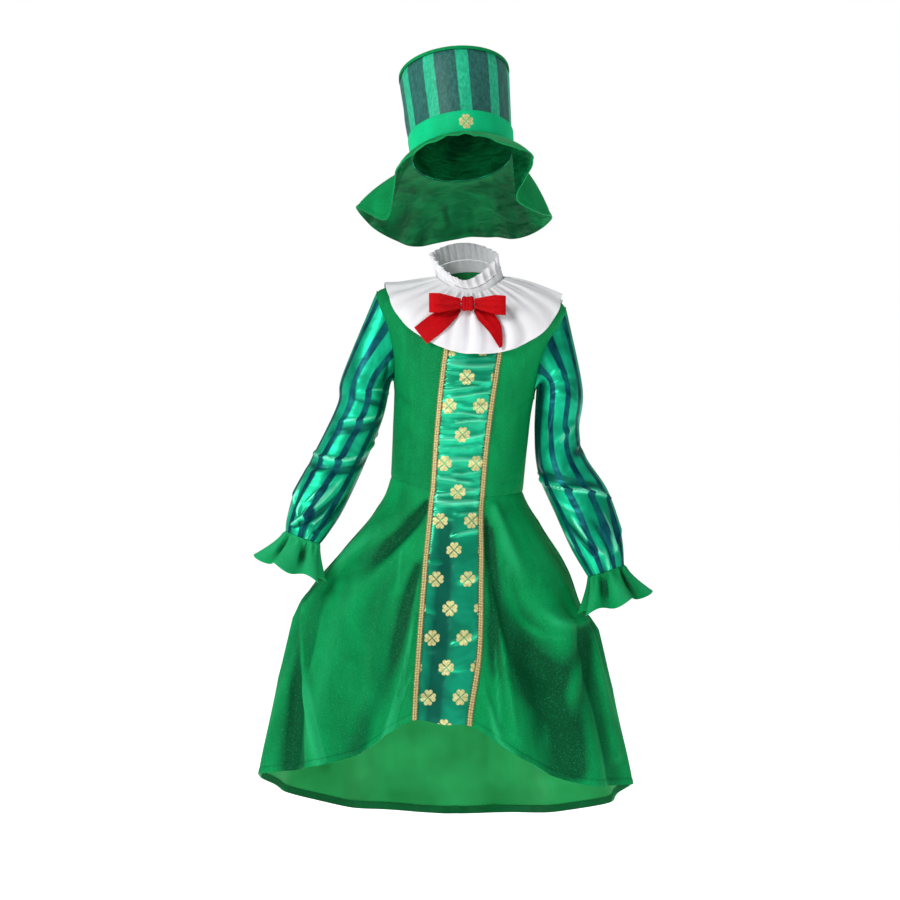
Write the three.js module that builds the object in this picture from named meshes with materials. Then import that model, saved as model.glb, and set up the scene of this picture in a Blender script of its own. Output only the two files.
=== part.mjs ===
// A child's leprechaun costume: a velvet dress with a satin front strip, striped sleeves and a white
// collar with a red bow, and a soft striped top hat. Millimetres, +Z up, the front faces -Y, and the
// wearer's left is +X. The origin is the middle of the neckline, where the shoulders hold the dress.
// Every piece is a thin closed wall on a worked-out surface, as the cloth lies when it is worn.
import * as THREE from 'three';

// ---- cloth thickness and seams ----
const VELVET = 1.5;
const SATIN = 1.0;
const WHITE_CLOTH = 1.2;
const RIBBON = 1.2;
const BRAID_THICK = 1.2;
const BRAID_WIDTH = 7.8;
const SEAM_GAP = 0.3;
const LAY_GAP = 0.5; // a piece that lies on another is this far off it

// ---- bodice: rings from the waist (level 0) to the neckline (level 6) ----
// side/front/back: heights; lean: how much lower the wearer's left side is; middle: x of the centre
const BODICE_RINGS = [
  { side: -285, front: -300, back: -280, lean: 11, middle: -5, halfWidth: 97, frontDepth: 75, backDepth: 70 },
  { side: -215, front: -220, back: -214, lean: 12, middle: 0, halfWidth: 99, frontDepth: 80, backDepth: 77 },
  { side: -148, front: -152, back: -150, lean: 13, middle: 5, halfWidth: 103, frontDepth: 86, backDepth: 84 },
  { side: -76, front: -114, back: -102, lean: 11, middle: 10, halfWidth: 121, frontDepth: 84, backDepth: 88 },
  { side: -18, front: -78, back: -55, lean: 12, middle: 16, halfWidth: 140, frontDepth: 78, backDepth: 82 },
  { side: 4, front: -40, back: -3, lean: 3, middle: 15, halfWidth: 98, frontDepth: 66, backDepth: 66 },
  { side: 17, front: -8, back: 30, lean: 0, middle: 15, halfWidth: 50, frontDepth: 50, backDepth: 48 },
];
const NECK = 6;
const SHOULDER = 4;
const ARMPIT = 2;
const ARMHOLE_FRONT = 22; // degrees the armhole takes from the front and from the back
const ARMHOLE_BACK = 24;

// ---- skirt: share of the way down, reach to each side, depth to front and back ----
const SKIRT_RINGS = [
  { down: 0, right: -102, left: 92, front: 75, back: 70 },
  { down: 0.1, right: -122, left: 116, front: 84, back: 86 },
  { down: 0.25, right: -174, left: 156, front: 97, back: 112 },
  { down: 0.38, right: -224, left: 178, front: 106, back: 132 },
  { down: 0.47, right: -247, left: 205, front: 112, back: 143 },
  { down: 0.67, right: -268, left: 225, front: 127, back: 166 },
  { down: 1, right: -294, left: 250, front: 150, back: 198 },
];
// hem height all round, from the back over the wearer's right side and the front to the left
const HEM = [
  { angle: -180, z: -797 }, { angle: -150, z: -787 }, { angle: -120, z: -752 }, { angle: -90, z: -716 },
  { angle: -60, z: -697 }, { angle: -45, z: -687 }, { angle: -30, z: -670 }, { angle: -20, z: -646 },
  { angle: -10, z: -616 }, { angle: 0, z: -622 }, { angle: 8, z: -625 }, { angle: 20, z: -662 },
  { angle: 30, z: -688 }, { angle: 45, z: -711 }, { angle: 60, z: -719 }, { angle: 90, z: -728 },
  { angle: 120, z: -770 }, { angle: 150, z: -794 },
];
// each large fold: its angle at waist and hem, where it starts, its depth halfway and at the hem
// (out is +, in is -) and its half width in degrees
const FOLDS = [
  { top: -18, hem: -15, start: 0.2, mid: 4, low: 12, width: 6 },
  { top: -27, hem: -31, start: 0.0, mid: -14, low: -18, width: 8 },
  { top: -44, hem: -45, start: 0.2, mid: 6, low: 12, width: 7 },
  { top: -62, hem: -60, start: 0.2, mid: -14, low: -14, width: 7 },
  { top: -78, hem: -77, start: 0.3, mid: -8, low: 6, width: 6 },
  { top: -104, hem: -106, start: 0.2, mid: -16, low: -8, width: 9 },
  { top: -124, hem: -124, start: 0.15, mid: 8, low: 12, width: 8 },
  { top: -142, hem: -141, start: 0.1, mid: -10, low: -16, width: 8 },
  { top: -161, hem: -160, start: 0.15, mid: 7, low: 14, width: 8 },
  { top: 180, hem: 179, start: 0.1, mid: -9, low: -15, width: 8 },
  { top: 160, hem: 158, start: 0.15, mid: 8, low: 13, width: 8 },
  { top: 140, hem: 139, start: 0.1, mid: -11, low: -16, width: 8 },
  { top: 121, hem: 120, start: 0.2, mid: 8, low: 11, width: 8 },
  { top: 103, hem: 104, start: 0.2, mid: -16, low: -8, width: 8 },
  { top: 79, hem: 80, start: 0.3, mid: -8, low: 6, width: 6 },
  { top: 63, hem: 66, start: 0.2, mid: -14, low: -12, width: 7 },
  { top: 47, hem: 51, start: 0.2, mid: 6, low: 12, width: 7 },
  { top: 33, hem: 36, start: 0.05, mid: -13, low: -18, width: 7 },
  { top: 22, hem: 22, start: 0.15, mid: 6, low: 12, width: 6 },
];
const HEM_FACING_DEPTH = 0.05; // share of the skirt's length that the turned hem takes

// ---- front strip: x of its two edges, by level (below 0 is the skirt, -1 its hem) ----
const STRIP_EDGES = [
  { level: 6, right: -17, left: 46 },
  { level: 4, right: -20, left: 55 },
  { level: 3, right: -23, left: 53 },
  { level: 0, right: -39.5, left: 31 },
  { level: -0.28, right: -49, left: 29.5 },
  { level: -0.67, right: -58.5, left: 26.5 },
  { level: -1, right: -65, left: 12 },
];

// ---- collar ----
const FLOUNCE_EDGE = [
  { angle: -135, level: 3.9 }, { angle: -90, level: 4.47 }, { angle: -60, level: 4.22 },
  { angle: -44, level: 3.8 }, { angle: -30, level: 3.6 }, { angle: -15, level: 3.47 },
  { angle: 0, level: 3.44 }, { angle: 25, level: 3.46 }, { angle: 41, level: 3.5 },
  { angle: 54, level: 3.82 }, { angle: 70, level: 4.2 }, { angle: 90, level: 4.38 },
  { angle: 135, level: 3.9 }, { angle: 180, level: 3.6 },
];
const FLOUNCE_OVER = 2.1; // clear of the braid's ends
const FLOUNCE_RIPPLES = 18;
const FLOUNCE_RIPPLE = 6;
const BAND_HEIGHT = { front: 10, back: 18 };
const FRILL_HEIGHT = { front: 17, back: 25 };
const FRILL_PLEATS = 26;
const FRILL_PLEAT = 2.6;
const NECK_LEAN = -9; // the collar follows the neck towards the wearer's right

// ---- sleeves: middle of each ring, half width seen from the front, half depth ----
const SLEEVE_RINGS = {
  right: [
    { x: -138, y: 0, z: -132, wide: 36, deep: 40 },
    { x: -147, y: -2, z: -178, wide: 35, deep: 38 },
    { x: -177, y: -8, z: -248, wide: 37, deep: 39 },
    { x: -206, y: -24, z: -308, wide: 38, deep: 39 },
    { x: -222, y: -42, z: -345, wide: 32, deep: 33 },
    { x: -228, y: -50, z: -361, wide: 27, deep: 27 },
  ],
  left: [
    { x: 146, y: 0, z: -142, wide: 34, deep: 39 },
    { x: 142, y: -1, z: -205, wide: 33, deep: 38 },
    { x: 149, y: -7, z: -256, wide: 37, deep: 39 },
    { x: 177, y: -22, z: -311, wide: 42, deep: 41 },
    { x: 198, y: -38, z: -368, wide: 38, deep: 37 },
    { x: 211, y: -47, z: -409, wide: 28, deep: 28 },
  ],
};
const CUFF_LENGTH = 50;
const CUFF_FLARE = { outer: 27, inner: 16 }; // the skirt presses the inner side in
const CUFF_WAVES = 7;
const CUFF_WAVE = 8;
const CUFF_DIRECTION = { right: [-0.26, -0.28, -0.92], left: [0.15, -0.26, -0.95] };

// ---- bow ----
const BOW = { x: 10.5, z: -21, knotWide: 19, knotHigh: 22, knotDeep: 15, squareness: 0.3 };
const BOW_OVER = 9.3; // the knot's back over the bodice, on top of the flounce
const TAIL_OVER = { knot: 7.5, end: 11.5 };
const LOOP_FORWARD = 6; // the loops' middle in front of the knot's
const BOW_LOOPS = {
  right: { length: 46, endHigh: 30, knotHigh: 14, deep: 12, rise: 1 },
  left: { length: 45, endHigh: 31, knotHigh: 14, deep: 12, rise: -3 },
};
// the middle of each tail from the knot out, and its half width
const BOW_TAILS = {
  right: [
    { x: 0.4, z: -26, half: 6 }, { x: -12, z: -33, half: 11 }, { x: -33, z: -49, half: 15 },
    { x: -53, z: -63, half: 16 },
  ],
  left: [
    { x: 20.6, z: -27, half: 6 }, { x: 35, z: -38, half: 11 }, { x: 51, z: -56, half: 10 },
    { x: 62, z: -85, half: 2.5 },
  ],
};

// ---- hat ----
const HAT_BASE = new THREE.Vector3(3, -10, 195);
const HAT_TILT_BACK = 16;
const HAT_LEAN = -5.5;
const HEAD_HALF = { wide: 74, deep: 90 };
const CROWN_TOP = { wide: 82, deep: 95 };
const CROWN_HEIGHT = 131;
const HAT_BAND_HEIGHT = 32;
const HAT_TIP_DOME = 5;
const BRIM_THICK = 2;
// how far the brim's edge lies from the crown, to the side, to the back and upwards, by angle
const BRIM_REACH = [
  { angle: -180, side: 2, back: 63, up: -80 }, { angle: -155, side: -40, back: 45, up: -95 },
  { angle: -140, side: -54, back: 27, up: -91 }, { angle: -120, side: -73, back: 10, up: -78 },
  { angle: -105, side: -85, back: -13, up: -60 }, { angle: -92, side: -44, back: -38, up: -87 },
  { angle: -82, side: -31, back: -43, up: -80 }, { angle: -72, side: -29, back: -48, up: -60 },
  { angle: -60, side: -31, back: -57, up: -40 }, { angle: -45, side: -21, back: -74, up: -26 },
  { angle: -25, side: -6, back: -87, up: -16 }, { angle: 0, side: 0, back: -94, up: -14 },
  { angle: 25, side: 6, back: -90, up: -19 }, { angle: 45, side: 44, back: -56, up: -31 },
  { angle: 60, side: 38, back: -50, up: -36 }, { angle: 75, side: 17, back: -50, up: -60 },
  { angle: 86, side: 6, back: -45, up: -78 }, { angle: 95, side: 38, back: -22, up: -88 },
  { angle: 105, side: 62, back: 4, up: -85 }, { angle: 120, side: 50, back: 22, up: -95 },
  { angle: 140, side: 35, back: 36, up: -96 }, { angle: 157, side: 22, back: 50, up: -86 },
];

// ---- how finely each wall is divided ----
const BODICE_COLUMNS = 7;
const SKIRT_COLUMNS = 16;
const SKIRT_ROWS = 13;
const ARMHOLE_ROWS = 8;
const SLEEVE_ROWS = 12;

const COLOURS = {
  velvet: 0x0d9a50, satin: 0x1fae74, sleeve: 0x159a6a, white: 0xf2f2f0, bow: 0xc01018,
  braid: 0xc8a050, crown: 0x28665c, band: 0x05be6e, facing: 0x0a7a40,
};

// ================= small helpers =================

const radians = THREE.MathUtils.degToRad;

/** Smooth curve value through a list, at a fractional index; rows may be numbers or vectors. */
function smoothRow(list, index, mix) {
  const last = list.length - 1;
  const k = Math.min(Math.max(Math.floor(index), 0), last - 1);
  const t = index - k;
  const rows = [k - 1, k, k + 1, k + 2].map((i) => list[Math.min(Math.max(i, 0), last)]);
  const weights = [
    -0.5 * t + t * t - 0.5 * t ** 3,
    1 - 2.5 * t * t + 1.5 * t ** 3,
    0.5 * t + 2 * t * t - 1.5 * t ** 3,
    -0.5 * t * t + 0.5 * t ** 3,
  ];
  return mix(rows, weights);
}

const mixNumbers = (rows, weights) => rows.reduce((sum, row, i) => sum + row * weights[i], 0);

function mixVectors(rows, weights) {
  const sum = new THREE.Vector3();
  rows.forEach((row, i) => sum.addScaledVector(row, weights[i]));
  return sum;
}

/** Value of one column of a table at a place given by its key column, smooth between the rows. */
function column(table, key, at, name) {
  const rising = table[1][key] > table[0][key];
  let k = 0;
  while (k < table.length - 2 && (rising ? at > table[k + 1][key] : at < table[k + 1][key])) k += 1;
  const t = (at - table[k][key]) / (table[k + 1][key] - table[k][key]);
  return smoothRow(table.map((row) => row[name]), k + t, mixNumbers);
}

/** The same round a closed table of angles, which repeats after 360 degrees. */
function roundColumn(table, angle, name) {
  let at = angle;
  while (at < table[0].angle) at += 360;
  while (at >= table[0].angle + 360) at -= 360;
  const turned = (shift) => table.map((row) => ({ ...row, angle: row.angle + shift }));
  return column([...turned(-360), ...turned(0), ...turned(360)], 'angle', at, name);
}

/** A share raised to a power, and nothing below 0. */
const eased = (share, power) => Math.max(share, 0) ** power;

const wrapAngle = (angle) => angle - 360 * Math.round(angle / 360);

// ================= the cloth wall =================

/** Outward unit normal of a surface, by small steps of its two parameters. */
function normalOf(surface, u, v, sense) {
  const stepU = 0.05;
  const stepV = 0.002;
  const du = surface(u + stepU, v).sub(surface(u - stepU, v));
  const dv = surface(u, v + stepV).sub(surface(u, v - stepV));
  return du.cross(dv).normalize().multiplyScalar(sense);
}

/**
 * A closed wall on part of a surface. place(i, j) gives the surface's parameters for column i and
 * row j; lift moves the outer face off the surface; a round wall joins its last column to its first.
 */
function clothWall(surface, place, columns, rows, { thick, lift = 0, round = false, sense = 1 }) {
  const across = round ? columns : columns + 1;
  const points = [];
  const face = { outer: [], inner: [] };
  for (let j = 0; j <= rows; j += 1) {
    for (let i = 0; i < across; i += 1) {
      const [u, v] = place(i, j);
      const p = surface(u, v);
      const n = normalOf(surface, u, v, sense);
      face.outer.push(points.push(p.clone().addScaledVector(n, lift)) - 1);
      face.inner.push(points.push(p.clone().addScaledVector(n, lift - thick)) - 1);
    }
  }
  const at = (side, i, j) => face[side][j * across + (i % across)];
  const triangles = [];
  const quad = (a, b, c, d) => triangles.push(a, b, c, a, c, d);
  for (let j = 0; j < rows; j += 1) {
    for (let i = 0; i < columns; i += 1) {
      quad(at('outer', i, j), at('outer', i + 1, j), at('outer', i + 1, j + 1), at('outer', i, j + 1));
      quad(at('inner', i, j), at('inner', i, j + 1), at('inner', i + 1, j + 1), at('inner', i + 1, j));
    }
  }
  for (let i = 0; i < columns; i += 1) {
    quad(at('inner', i, 0), at('inner', i + 1, 0), at('outer', i + 1, 0), at('outer', i, 0));
    quad(at('outer', i, rows), at('outer', i + 1, rows), at('inner', i + 1, rows), at('inner', i, rows));
  }
  for (let j = 0; j < rows && !round; j += 1) {
    quad(at('outer', 0, j), at('outer', 0, j + 1), at('inner', 0, j + 1), at('inner', 0, j));
    quad(at('inner', columns, j), at('inner', columns, j + 1), at('outer', columns, j + 1),
      at('outer', columns, j));
  }
  return closedGeometry(points, triangles);
}

/** A geometry from points and triangles, turned so that its faces point outwards. */
function closedGeometry(points, triangles) {
  let volume = 0;
  for (let k = 0; k < triangles.length; k += 3) {
    const [a, b, c] = [points[triangles[k]], points[triangles[k + 1]], points[triangles[k + 2]]];
    volume += a.dot(b.clone().cross(c));
  }
  const index = volume > 0 ? triangles : [...triangles].reverse();
  const geometry = new THREE.BufferGeometry();
  geometry.setAttribute('position', new THREE.Float32BufferAttribute(points.flatMap((p) => p.toArray()), 3));
  geometry.setIndex(index);
  geometry.computeVertexNormals();
  return geometry;
}

const costume = new THREE.Group();

function addPiece(name, geometry, colour, roughness = 0.8) {
  const material = new THREE.MeshStandardMaterial({ color: colour, roughness, metalness: 0 });
  const mesh = new THREE.Mesh(geometry, material);
  mesh.name = name;
  costume.add(mesh);
}

// ================= the dress's surface =================

/** Point of the bodice at an angle round the body (0 front, 90 the wearer's left) and a level. */
function bodicePoint(angle, level) {
  const s = Math.sin(radians(angle));
  const c = Math.cos(radians(angle));
  const rings = BODICE_RINGS.map((ring) => {
    const forward = c > 0 ? ring.front : ring.back;
    const depth = c > 0 ? ring.frontDepth : ring.backDepth;
    return new THREE.Vector3(
      ring.middle + ring.halfWidth * s,
      -depth * c,
      ring.side + (forward - ring.side) * c * c - ring.lean * s,
    );
  });
  return smoothRow(rings, level, mixVectors);
}

/** How far the folds push the skirt out at an angle and a share of the way down. */
function foldDepth(angle, down) {
  return FOLDS.reduce((sum, fold) => {
    const ease = THREE.MathUtils.smoothstep(down, fold.start, 0.55);
    const depth = ease * (fold.mid + (fold.low - fold.mid) * Math.max(0, (down - 0.5) / 0.5));
    const away = wrapAngle(angle - fold.top - wrapAngle(fold.hem - fold.top) * down) / fold.width;
    return sum + depth * Math.exp(-away * away);
  }, 0);
}

function skirtPoint(angle, down) {
  const s = Math.sin(radians(angle));
  const c = Math.cos(radians(angle));
  const right = column(SKIRT_RINGS, 'down', down, 'right');
  const left = column(SKIRT_RINGS, 'down', down, 'left');
  const depth = column(SKIRT_RINGS, 'down', down, c > 0 ? 'front' : 'back');
  const waist = bodicePoint(angle, 0);
  const fold = foldDepth(angle, down);
  return new THREE.Vector3(
    (right + left) / 2 + ((left - right) / 2 + fold) * s,
    -(depth + fold) * c,
    waist.z + (roundColumn(HEM, angle, 'z') - waist.z) * down,
  );
}

/** The whole dress: levels 0 to 6 are the bodice, 0 to -1 the skirt. */
function dressPoint(angle, level) {
  return level >= 0 ? bodicePoint(angle, level) : skirtPoint(angle, -level);
}

/** Angle at which the dress's front has a given x, at a level. */
function angleAt(x, level) {
  let [low, high] = [-80, 80];
  for (let k = 0; k < 30; k += 1) {
    const middle = (low + high) / 2;
    if (dressPoint(middle, level).x < x) low = middle;
    else high = middle;
  }
  return (low + high) / 2;
}

const stripAngle = (side, level, extra = 0) => angleAt(column(STRIP_EDGES, 'level', level, side) + extra, level);

/** Moves an angle away from a seam by half the seam's gap. */
function offSeam(angle, level, towards, gap = SEAM_GAP / 2) {
  const step = dressPoint(angle + 0.5, level).distanceTo(dressPoint(angle - 0.5, level));
  return angle + (towards * gap) / step;
}

// ---- levels at which the bodice's rows lie, with the armhole's rows closer at its ends ----
const armholeLevel = (row) => (ARMPIT + SHOULDER) / 2 - ((SHOULDER - ARMPIT) / 2) * Math.cos((Math.PI * row) / ARMHOLE_ROWS);
const LEVEL_STEP = 0.004; // about 0.15 mm of height at a seam
const BODICE_LEVELS = [
  LEVEL_STEP * 0.7, 0.5, 1, 1.5,
  ...Array.from({ length: ARMHOLE_ROWS + 1 }, (_, row) => armholeLevel(row)),
  4.6, 5.3, NECK,
];
const SKIRT_LEVELS = Array.from({ length: SKIRT_ROWS + 1 }, (_, row) => -((row / SKIRT_ROWS) ** 1.05));
SKIRT_LEVELS[0] = -0.0005;

/** How much of the side the armhole takes at a level, in degrees. */
function armholeTake(level, widest) {
  const away = (level - (ARMPIT + SHOULDER) / 2) / ((SHOULDER - ARMPIT) / 2);
  return Math.abs(away) < 1 ? widest * Math.sqrt(1 - away * away) : 0;
}

// ================= bodice, strip, braid, skirt =================

function bodicePieces() {
  for (const [side, sign] of [['right', -1], ['left', 1]]) {
    const front = (i, j) => {
      const level = BODICE_LEVELS[j];
      const from = offSeam(stripAngle(side, level), level, sign);
      const seam = sign * (90 - armholeTake(level, ARMHOLE_FRONT));
      const to = offSeam(seam, level, -sign);
      return [from + ((to - from) * i) / BODICE_COLUMNS, level];
    };
    const back = (i, j) => {
      const level = BODICE_LEVELS[j];
      const from = offSeam(sign * (90 + armholeTake(level, ARMHOLE_BACK)), level, sign);
      const to = offSeam(sign * 180, level, -sign);
      return [from + ((to - from) * i) / BODICE_COLUMNS, level];
    };
    const rows = BODICE_LEVELS.length - 1;
    addPiece(`bodice_front_${side}`, clothWall(dressPoint, front, BODICE_COLUMNS, rows, { thick: VELVET }),
      COLOURS.velvet);
    addPiece(`bodice_back_${side}`, clothWall(dressPoint, back, BODICE_COLUMNS, rows, { thick: VELVET }),
      COLOURS.velvet);
  }
}

const STRIP_LEVELS = [...BODICE_LEVELS.slice(1).reverse(), ...SKIRT_LEVELS];
const BRAID_LEVELS = STRIP_LEVELS.slice(1); // the braid starts under the flounce

function stripAndBraid() {
  const strip = (i, j) => {
    const level = STRIP_LEVELS[j];
    const from = offSeam(stripAngle('right', level), level, 1);
    const to = offSeam(stripAngle('left', level), level, -1);
    return [from + ((to - from) * i) / 6, level];
  };
  const rows = STRIP_LEVELS.length - 1;
  addPiece('centre_panel', clothWall(dressPoint, strip, 6, rows, { thick: SATIN }), COLOURS.satin, 0.35);
  for (const side of ['right', 'left']) {
    const braid = (i, j) => [stripAngle(side, BRAID_LEVELS[j], (i - 0.5) * BRAID_WIDTH), BRAID_LEVELS[j]];
    const onCloth = { thick: BRAID_THICK, lift: BRAID_THICK + LAY_GAP };
    addPiece(`braid_${side}`, clothWall(dressPoint, braid, 1, rows - 1, onCloth), COLOURS.braid, 0.5);
  }
}

function skirtPieces() {
  for (const [side, sign] of [['right', -1], ['left', 1]]) {
    const front = (i, j) => {
      const level = SKIRT_LEVELS[j];
      const from = offSeam(stripAngle(side, level), level, sign);
      const to = offSeam(sign * 90, level, -sign);
      return [from + ((to - from) * i) / SKIRT_COLUMNS, level];
    };
    const back = (i, j) => {
      const level = SKIRT_LEVELS[j];
      const from = offSeam(sign * 90, level, sign);
      const to = offSeam(sign * 180, level, -sign);
      return [from + ((to - from) * i) / SKIRT_COLUMNS, level];
    };
    addPiece(`skirt_front_${side}`, clothWall(dressPoint, front, SKIRT_COLUMNS, SKIRT_ROWS, { thick: VELVET }),
      COLOURS.velvet);
    addPiece(`skirt_back_${side}`, clothWall(dressPoint, back, SKIRT_COLUMNS, SKIRT_ROWS, { thick: VELVET }),
      COLOURS.velvet);
  }
  // the turned hem inside the back, from side seam to side seam
  const columns = 2 * SKIRT_COLUMNS;
  const facing = (i, j) => [90 + (180 * i) / columns, -1 + HEM_FACING_DEPTH * (1 - j)];
  const inside = { thick: SATIN, lift: -VELVET - LAY_GAP };
  addPiece('skirt_hem_facing', clothWall(dressPoint, facing, columns, 1, inside), COLOURS.facing);
}

// ================= collar =================

/** Blend from a front value to a back value round the neck. */
const frontToBack = (values, angle) => values.front + (values.back - values.front) * (0.5 - 0.5 * Math.cos(radians(angle)));

/** The standing collar over the neckline: up is its height above it in millimetres. */
function neckPoint(angle, up) {
  const p = bodicePoint(angle, NECK);
  const whole = frontToBack(BAND_HEIGHT, angle) + frontToBack(FRILL_HEIGHT, angle);
  const share = up / whole;
  const narrow = 1 - 0.08 * share;
  const middle = BODICE_RINGS[NECK].middle;
  return new THREE.Vector3(middle + (p.x - middle) * narrow + NECK_LEAN * share, p.y * narrow, p.z + up);
}

function frillPoint(angle, share) {
  const up = frontToBack(BAND_HEIGHT, angle) + SEAM_GAP * 2 + frontToBack(FRILL_HEIGHT, angle) * share;
  const p = neckPoint(angle, up);
  const pleat = FRILL_PLEAT * (0.25 + 0.75 * share) * Math.sin(radians(angle * FRILL_PLEATS));
  const out = new THREE.Vector3(Math.sin(radians(angle)), -Math.cos(radians(angle)), 0);
  return p.addScaledVector(out, pleat + 3 * share * share);
}

/** The flounce lies on the bodice: share 0 is the neckline, 1 its edge; the lift is its ripple. */
function flouncePoint(angle, share) {
  const edge = roundColumn(FLOUNCE_EDGE, angle, 'level');
  const level = NECK - 0.06 - (NECK - 0.06 - edge) * share;
  const p = bodicePoint(angle, level);
  const n = normalOf(bodicePoint, angle, level, 1);
  const ripple = 0.5 + 0.5 * Math.sin(radians(angle * FLOUNCE_RIPPLES)) * (0.7 + 0.3 * Math.sin(radians(angle * 5)));
  return p.addScaledVector(n, FLOUNCE_OVER + WHITE_CLOTH + (1.5 + FLOUNCE_RIPPLE * ripple) * eased(share, 1.2));
}

function collar() {
  const turn = (columns) => (i) => (360 * i) / columns;
  const band = (i, j) => [turn(40)(i), j === 0 ? SEAM_GAP : frontToBack(BAND_HEIGHT, turn(40)(i))];
  addPiece('neck_band', clothWall(neckPoint, band, 40, 1, { thick: WHITE_CLOTH, round: true }), COLOURS.white);
  const frillColumns = 4 * FRILL_PLEATS;
  const frill = (i, j) => [turn(frillColumns)(i), j / 2];
  addPiece('neck_frill', clothWall(frillPoint, frill, frillColumns, 2, { thick: WHITE_CLOTH, round: true }),
    COLOURS.white);
  const flounceColumns = 4 * FLOUNCE_RIPPLES;
  const flounce = (i, j) => [turn(flounceColumns)(i), j / 4];
  addPiece('collar_flounce', clothWall(flouncePoint, flounce, flounceColumns, 4,
    { thick: WHITE_CLOTH, round: true, sense: -1 }), COLOURS.white);
}

// ================= sleeves and cuffs =================

/** Rings of a sleeve: the armhole first, then the ovals down the arm to the wrist. */
function sleeveRing(side, k, angle) {
  const sign = side === 'left' ? 1 : -1;
  const s = Math.sin(radians(angle));
  const c = Math.cos(radians(angle));
  if (k === 0) {
    const take = s > 0 ? ARMHOLE_FRONT : ARMHOLE_BACK;
    const p = bodicePoint(sign * (90 - take * s), (ARMPIT + SHOULDER) / 2 + c * ((SHOULDER - ARMPIT) / 2));
    const middle = bodicePoint(sign * 90, (ARMPIT + SHOULDER) / 2);
    const inwards = middle.sub(p);
    inwards.x = 0;
    return p.addScaledVector(inwards.normalize(), SEAM_GAP + 0.2).add(new THREE.Vector3(sign * 0.2, 0, 0));
  }
  const rings = SLEEVE_RINGS[side];
  const at = rings[k - 1];
  const before = rings[Math.max(k - 2, 0)];
  const after = rings[Math.min(k, rings.length - 1)];
  const along = new THREE.Vector3(after.x - before.x, 0, after.z - before.z).normalize();
  const outward = new THREE.Vector3(-along.z * sign, 0, along.x * sign);
  return new THREE.Vector3(at.x, at.y, at.z)
    .addScaledVector(outward, at.wide * c)
    .add(new THREE.Vector3(0, -at.deep * s, 0));
}

function sleevePoint(side, angle, share) {
  const count = SLEEVE_RINGS[side].length;
  const rings = Array.from({ length: count + 1 }, (_, k) => sleeveRing(side, k, angle));
  return smoothRow(rings, share * count, mixVectors);
}

/** The cuff's frill: from the wrist (share 0) out to its wavy edge (share 1). */
function cuffPoint(side, angle, share) {
  const wrist = SLEEVE_RINGS[side].at(-1);
  const along = new THREE.Vector3(...CUFF_DIRECTION[side]).normalize();
  const start = sleevePoint(side, angle, 1);
  const outward = start.clone().sub(new THREE.Vector3(wrist.x, wrist.y, wrist.z)).normalize();
  const inner = 0.5 - 0.5 * Math.cos(radians(angle));
  const flare = CUFF_FLARE.outer + (CUFF_FLARE.inner - CUFF_FLARE.outer) * inner;
  const wave = Math.sin(radians(angle * CUFF_WAVES + 20 * Math.sin(radians(2 * angle))));
  const reach = 2 * SEAM_GAP + CUFF_LENGTH * share - 6 * share * share * Math.cos(radians(angle * CUFF_WAVES));
  return start
    .addScaledVector(along, reach)
    .addScaledVector(outward, flare * eased(share, 1.3) + CUFF_WAVE * wave * share);
}

function sleevesAndCuffs() {
  for (const side of ['right', 'left']) {
    const sense = side === 'left' ? 1 : -1;
    const columns = 2 * ARMHOLE_ROWS;
    const sleeve = (i, j) => [(360 * i) / columns, j / SLEEVE_ROWS];
    addPiece(`sleeve_${side}`, clothWall((a, t) => sleevePoint(side, a, t), sleeve, columns, SLEEVE_ROWS,
      { thick: SATIN, round: true, sense }), COLOURS.sleeve, 0.35);
    const cuffColumns = 6 * CUFF_WAVES;
    const cuff = (i, j) => [(360 * i) / cuffColumns, j / 3];
    addPiece(`cuff_${side}`, clothWall((a, t) => cuffPoint(side, a, t), cuff, cuffColumns, 3,
      { thick: VELVET, round: true, sense }), COLOURS.velvet);
  }
}

// ================= bow =================

/** y of the bodice's front at a given x and height. */
function frontAt(x, z) {
  let [low, high] = [ARMPIT, NECK];
  for (let k = 0; k < 20; k += 1) {
    const level = (low + high) / 2;
    if (bodicePoint(angleAt(x, level), level).z < z) low = level;
    else high = level;
  }
  return bodicePoint(angleAt(x, low), low).y;
}

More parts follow.
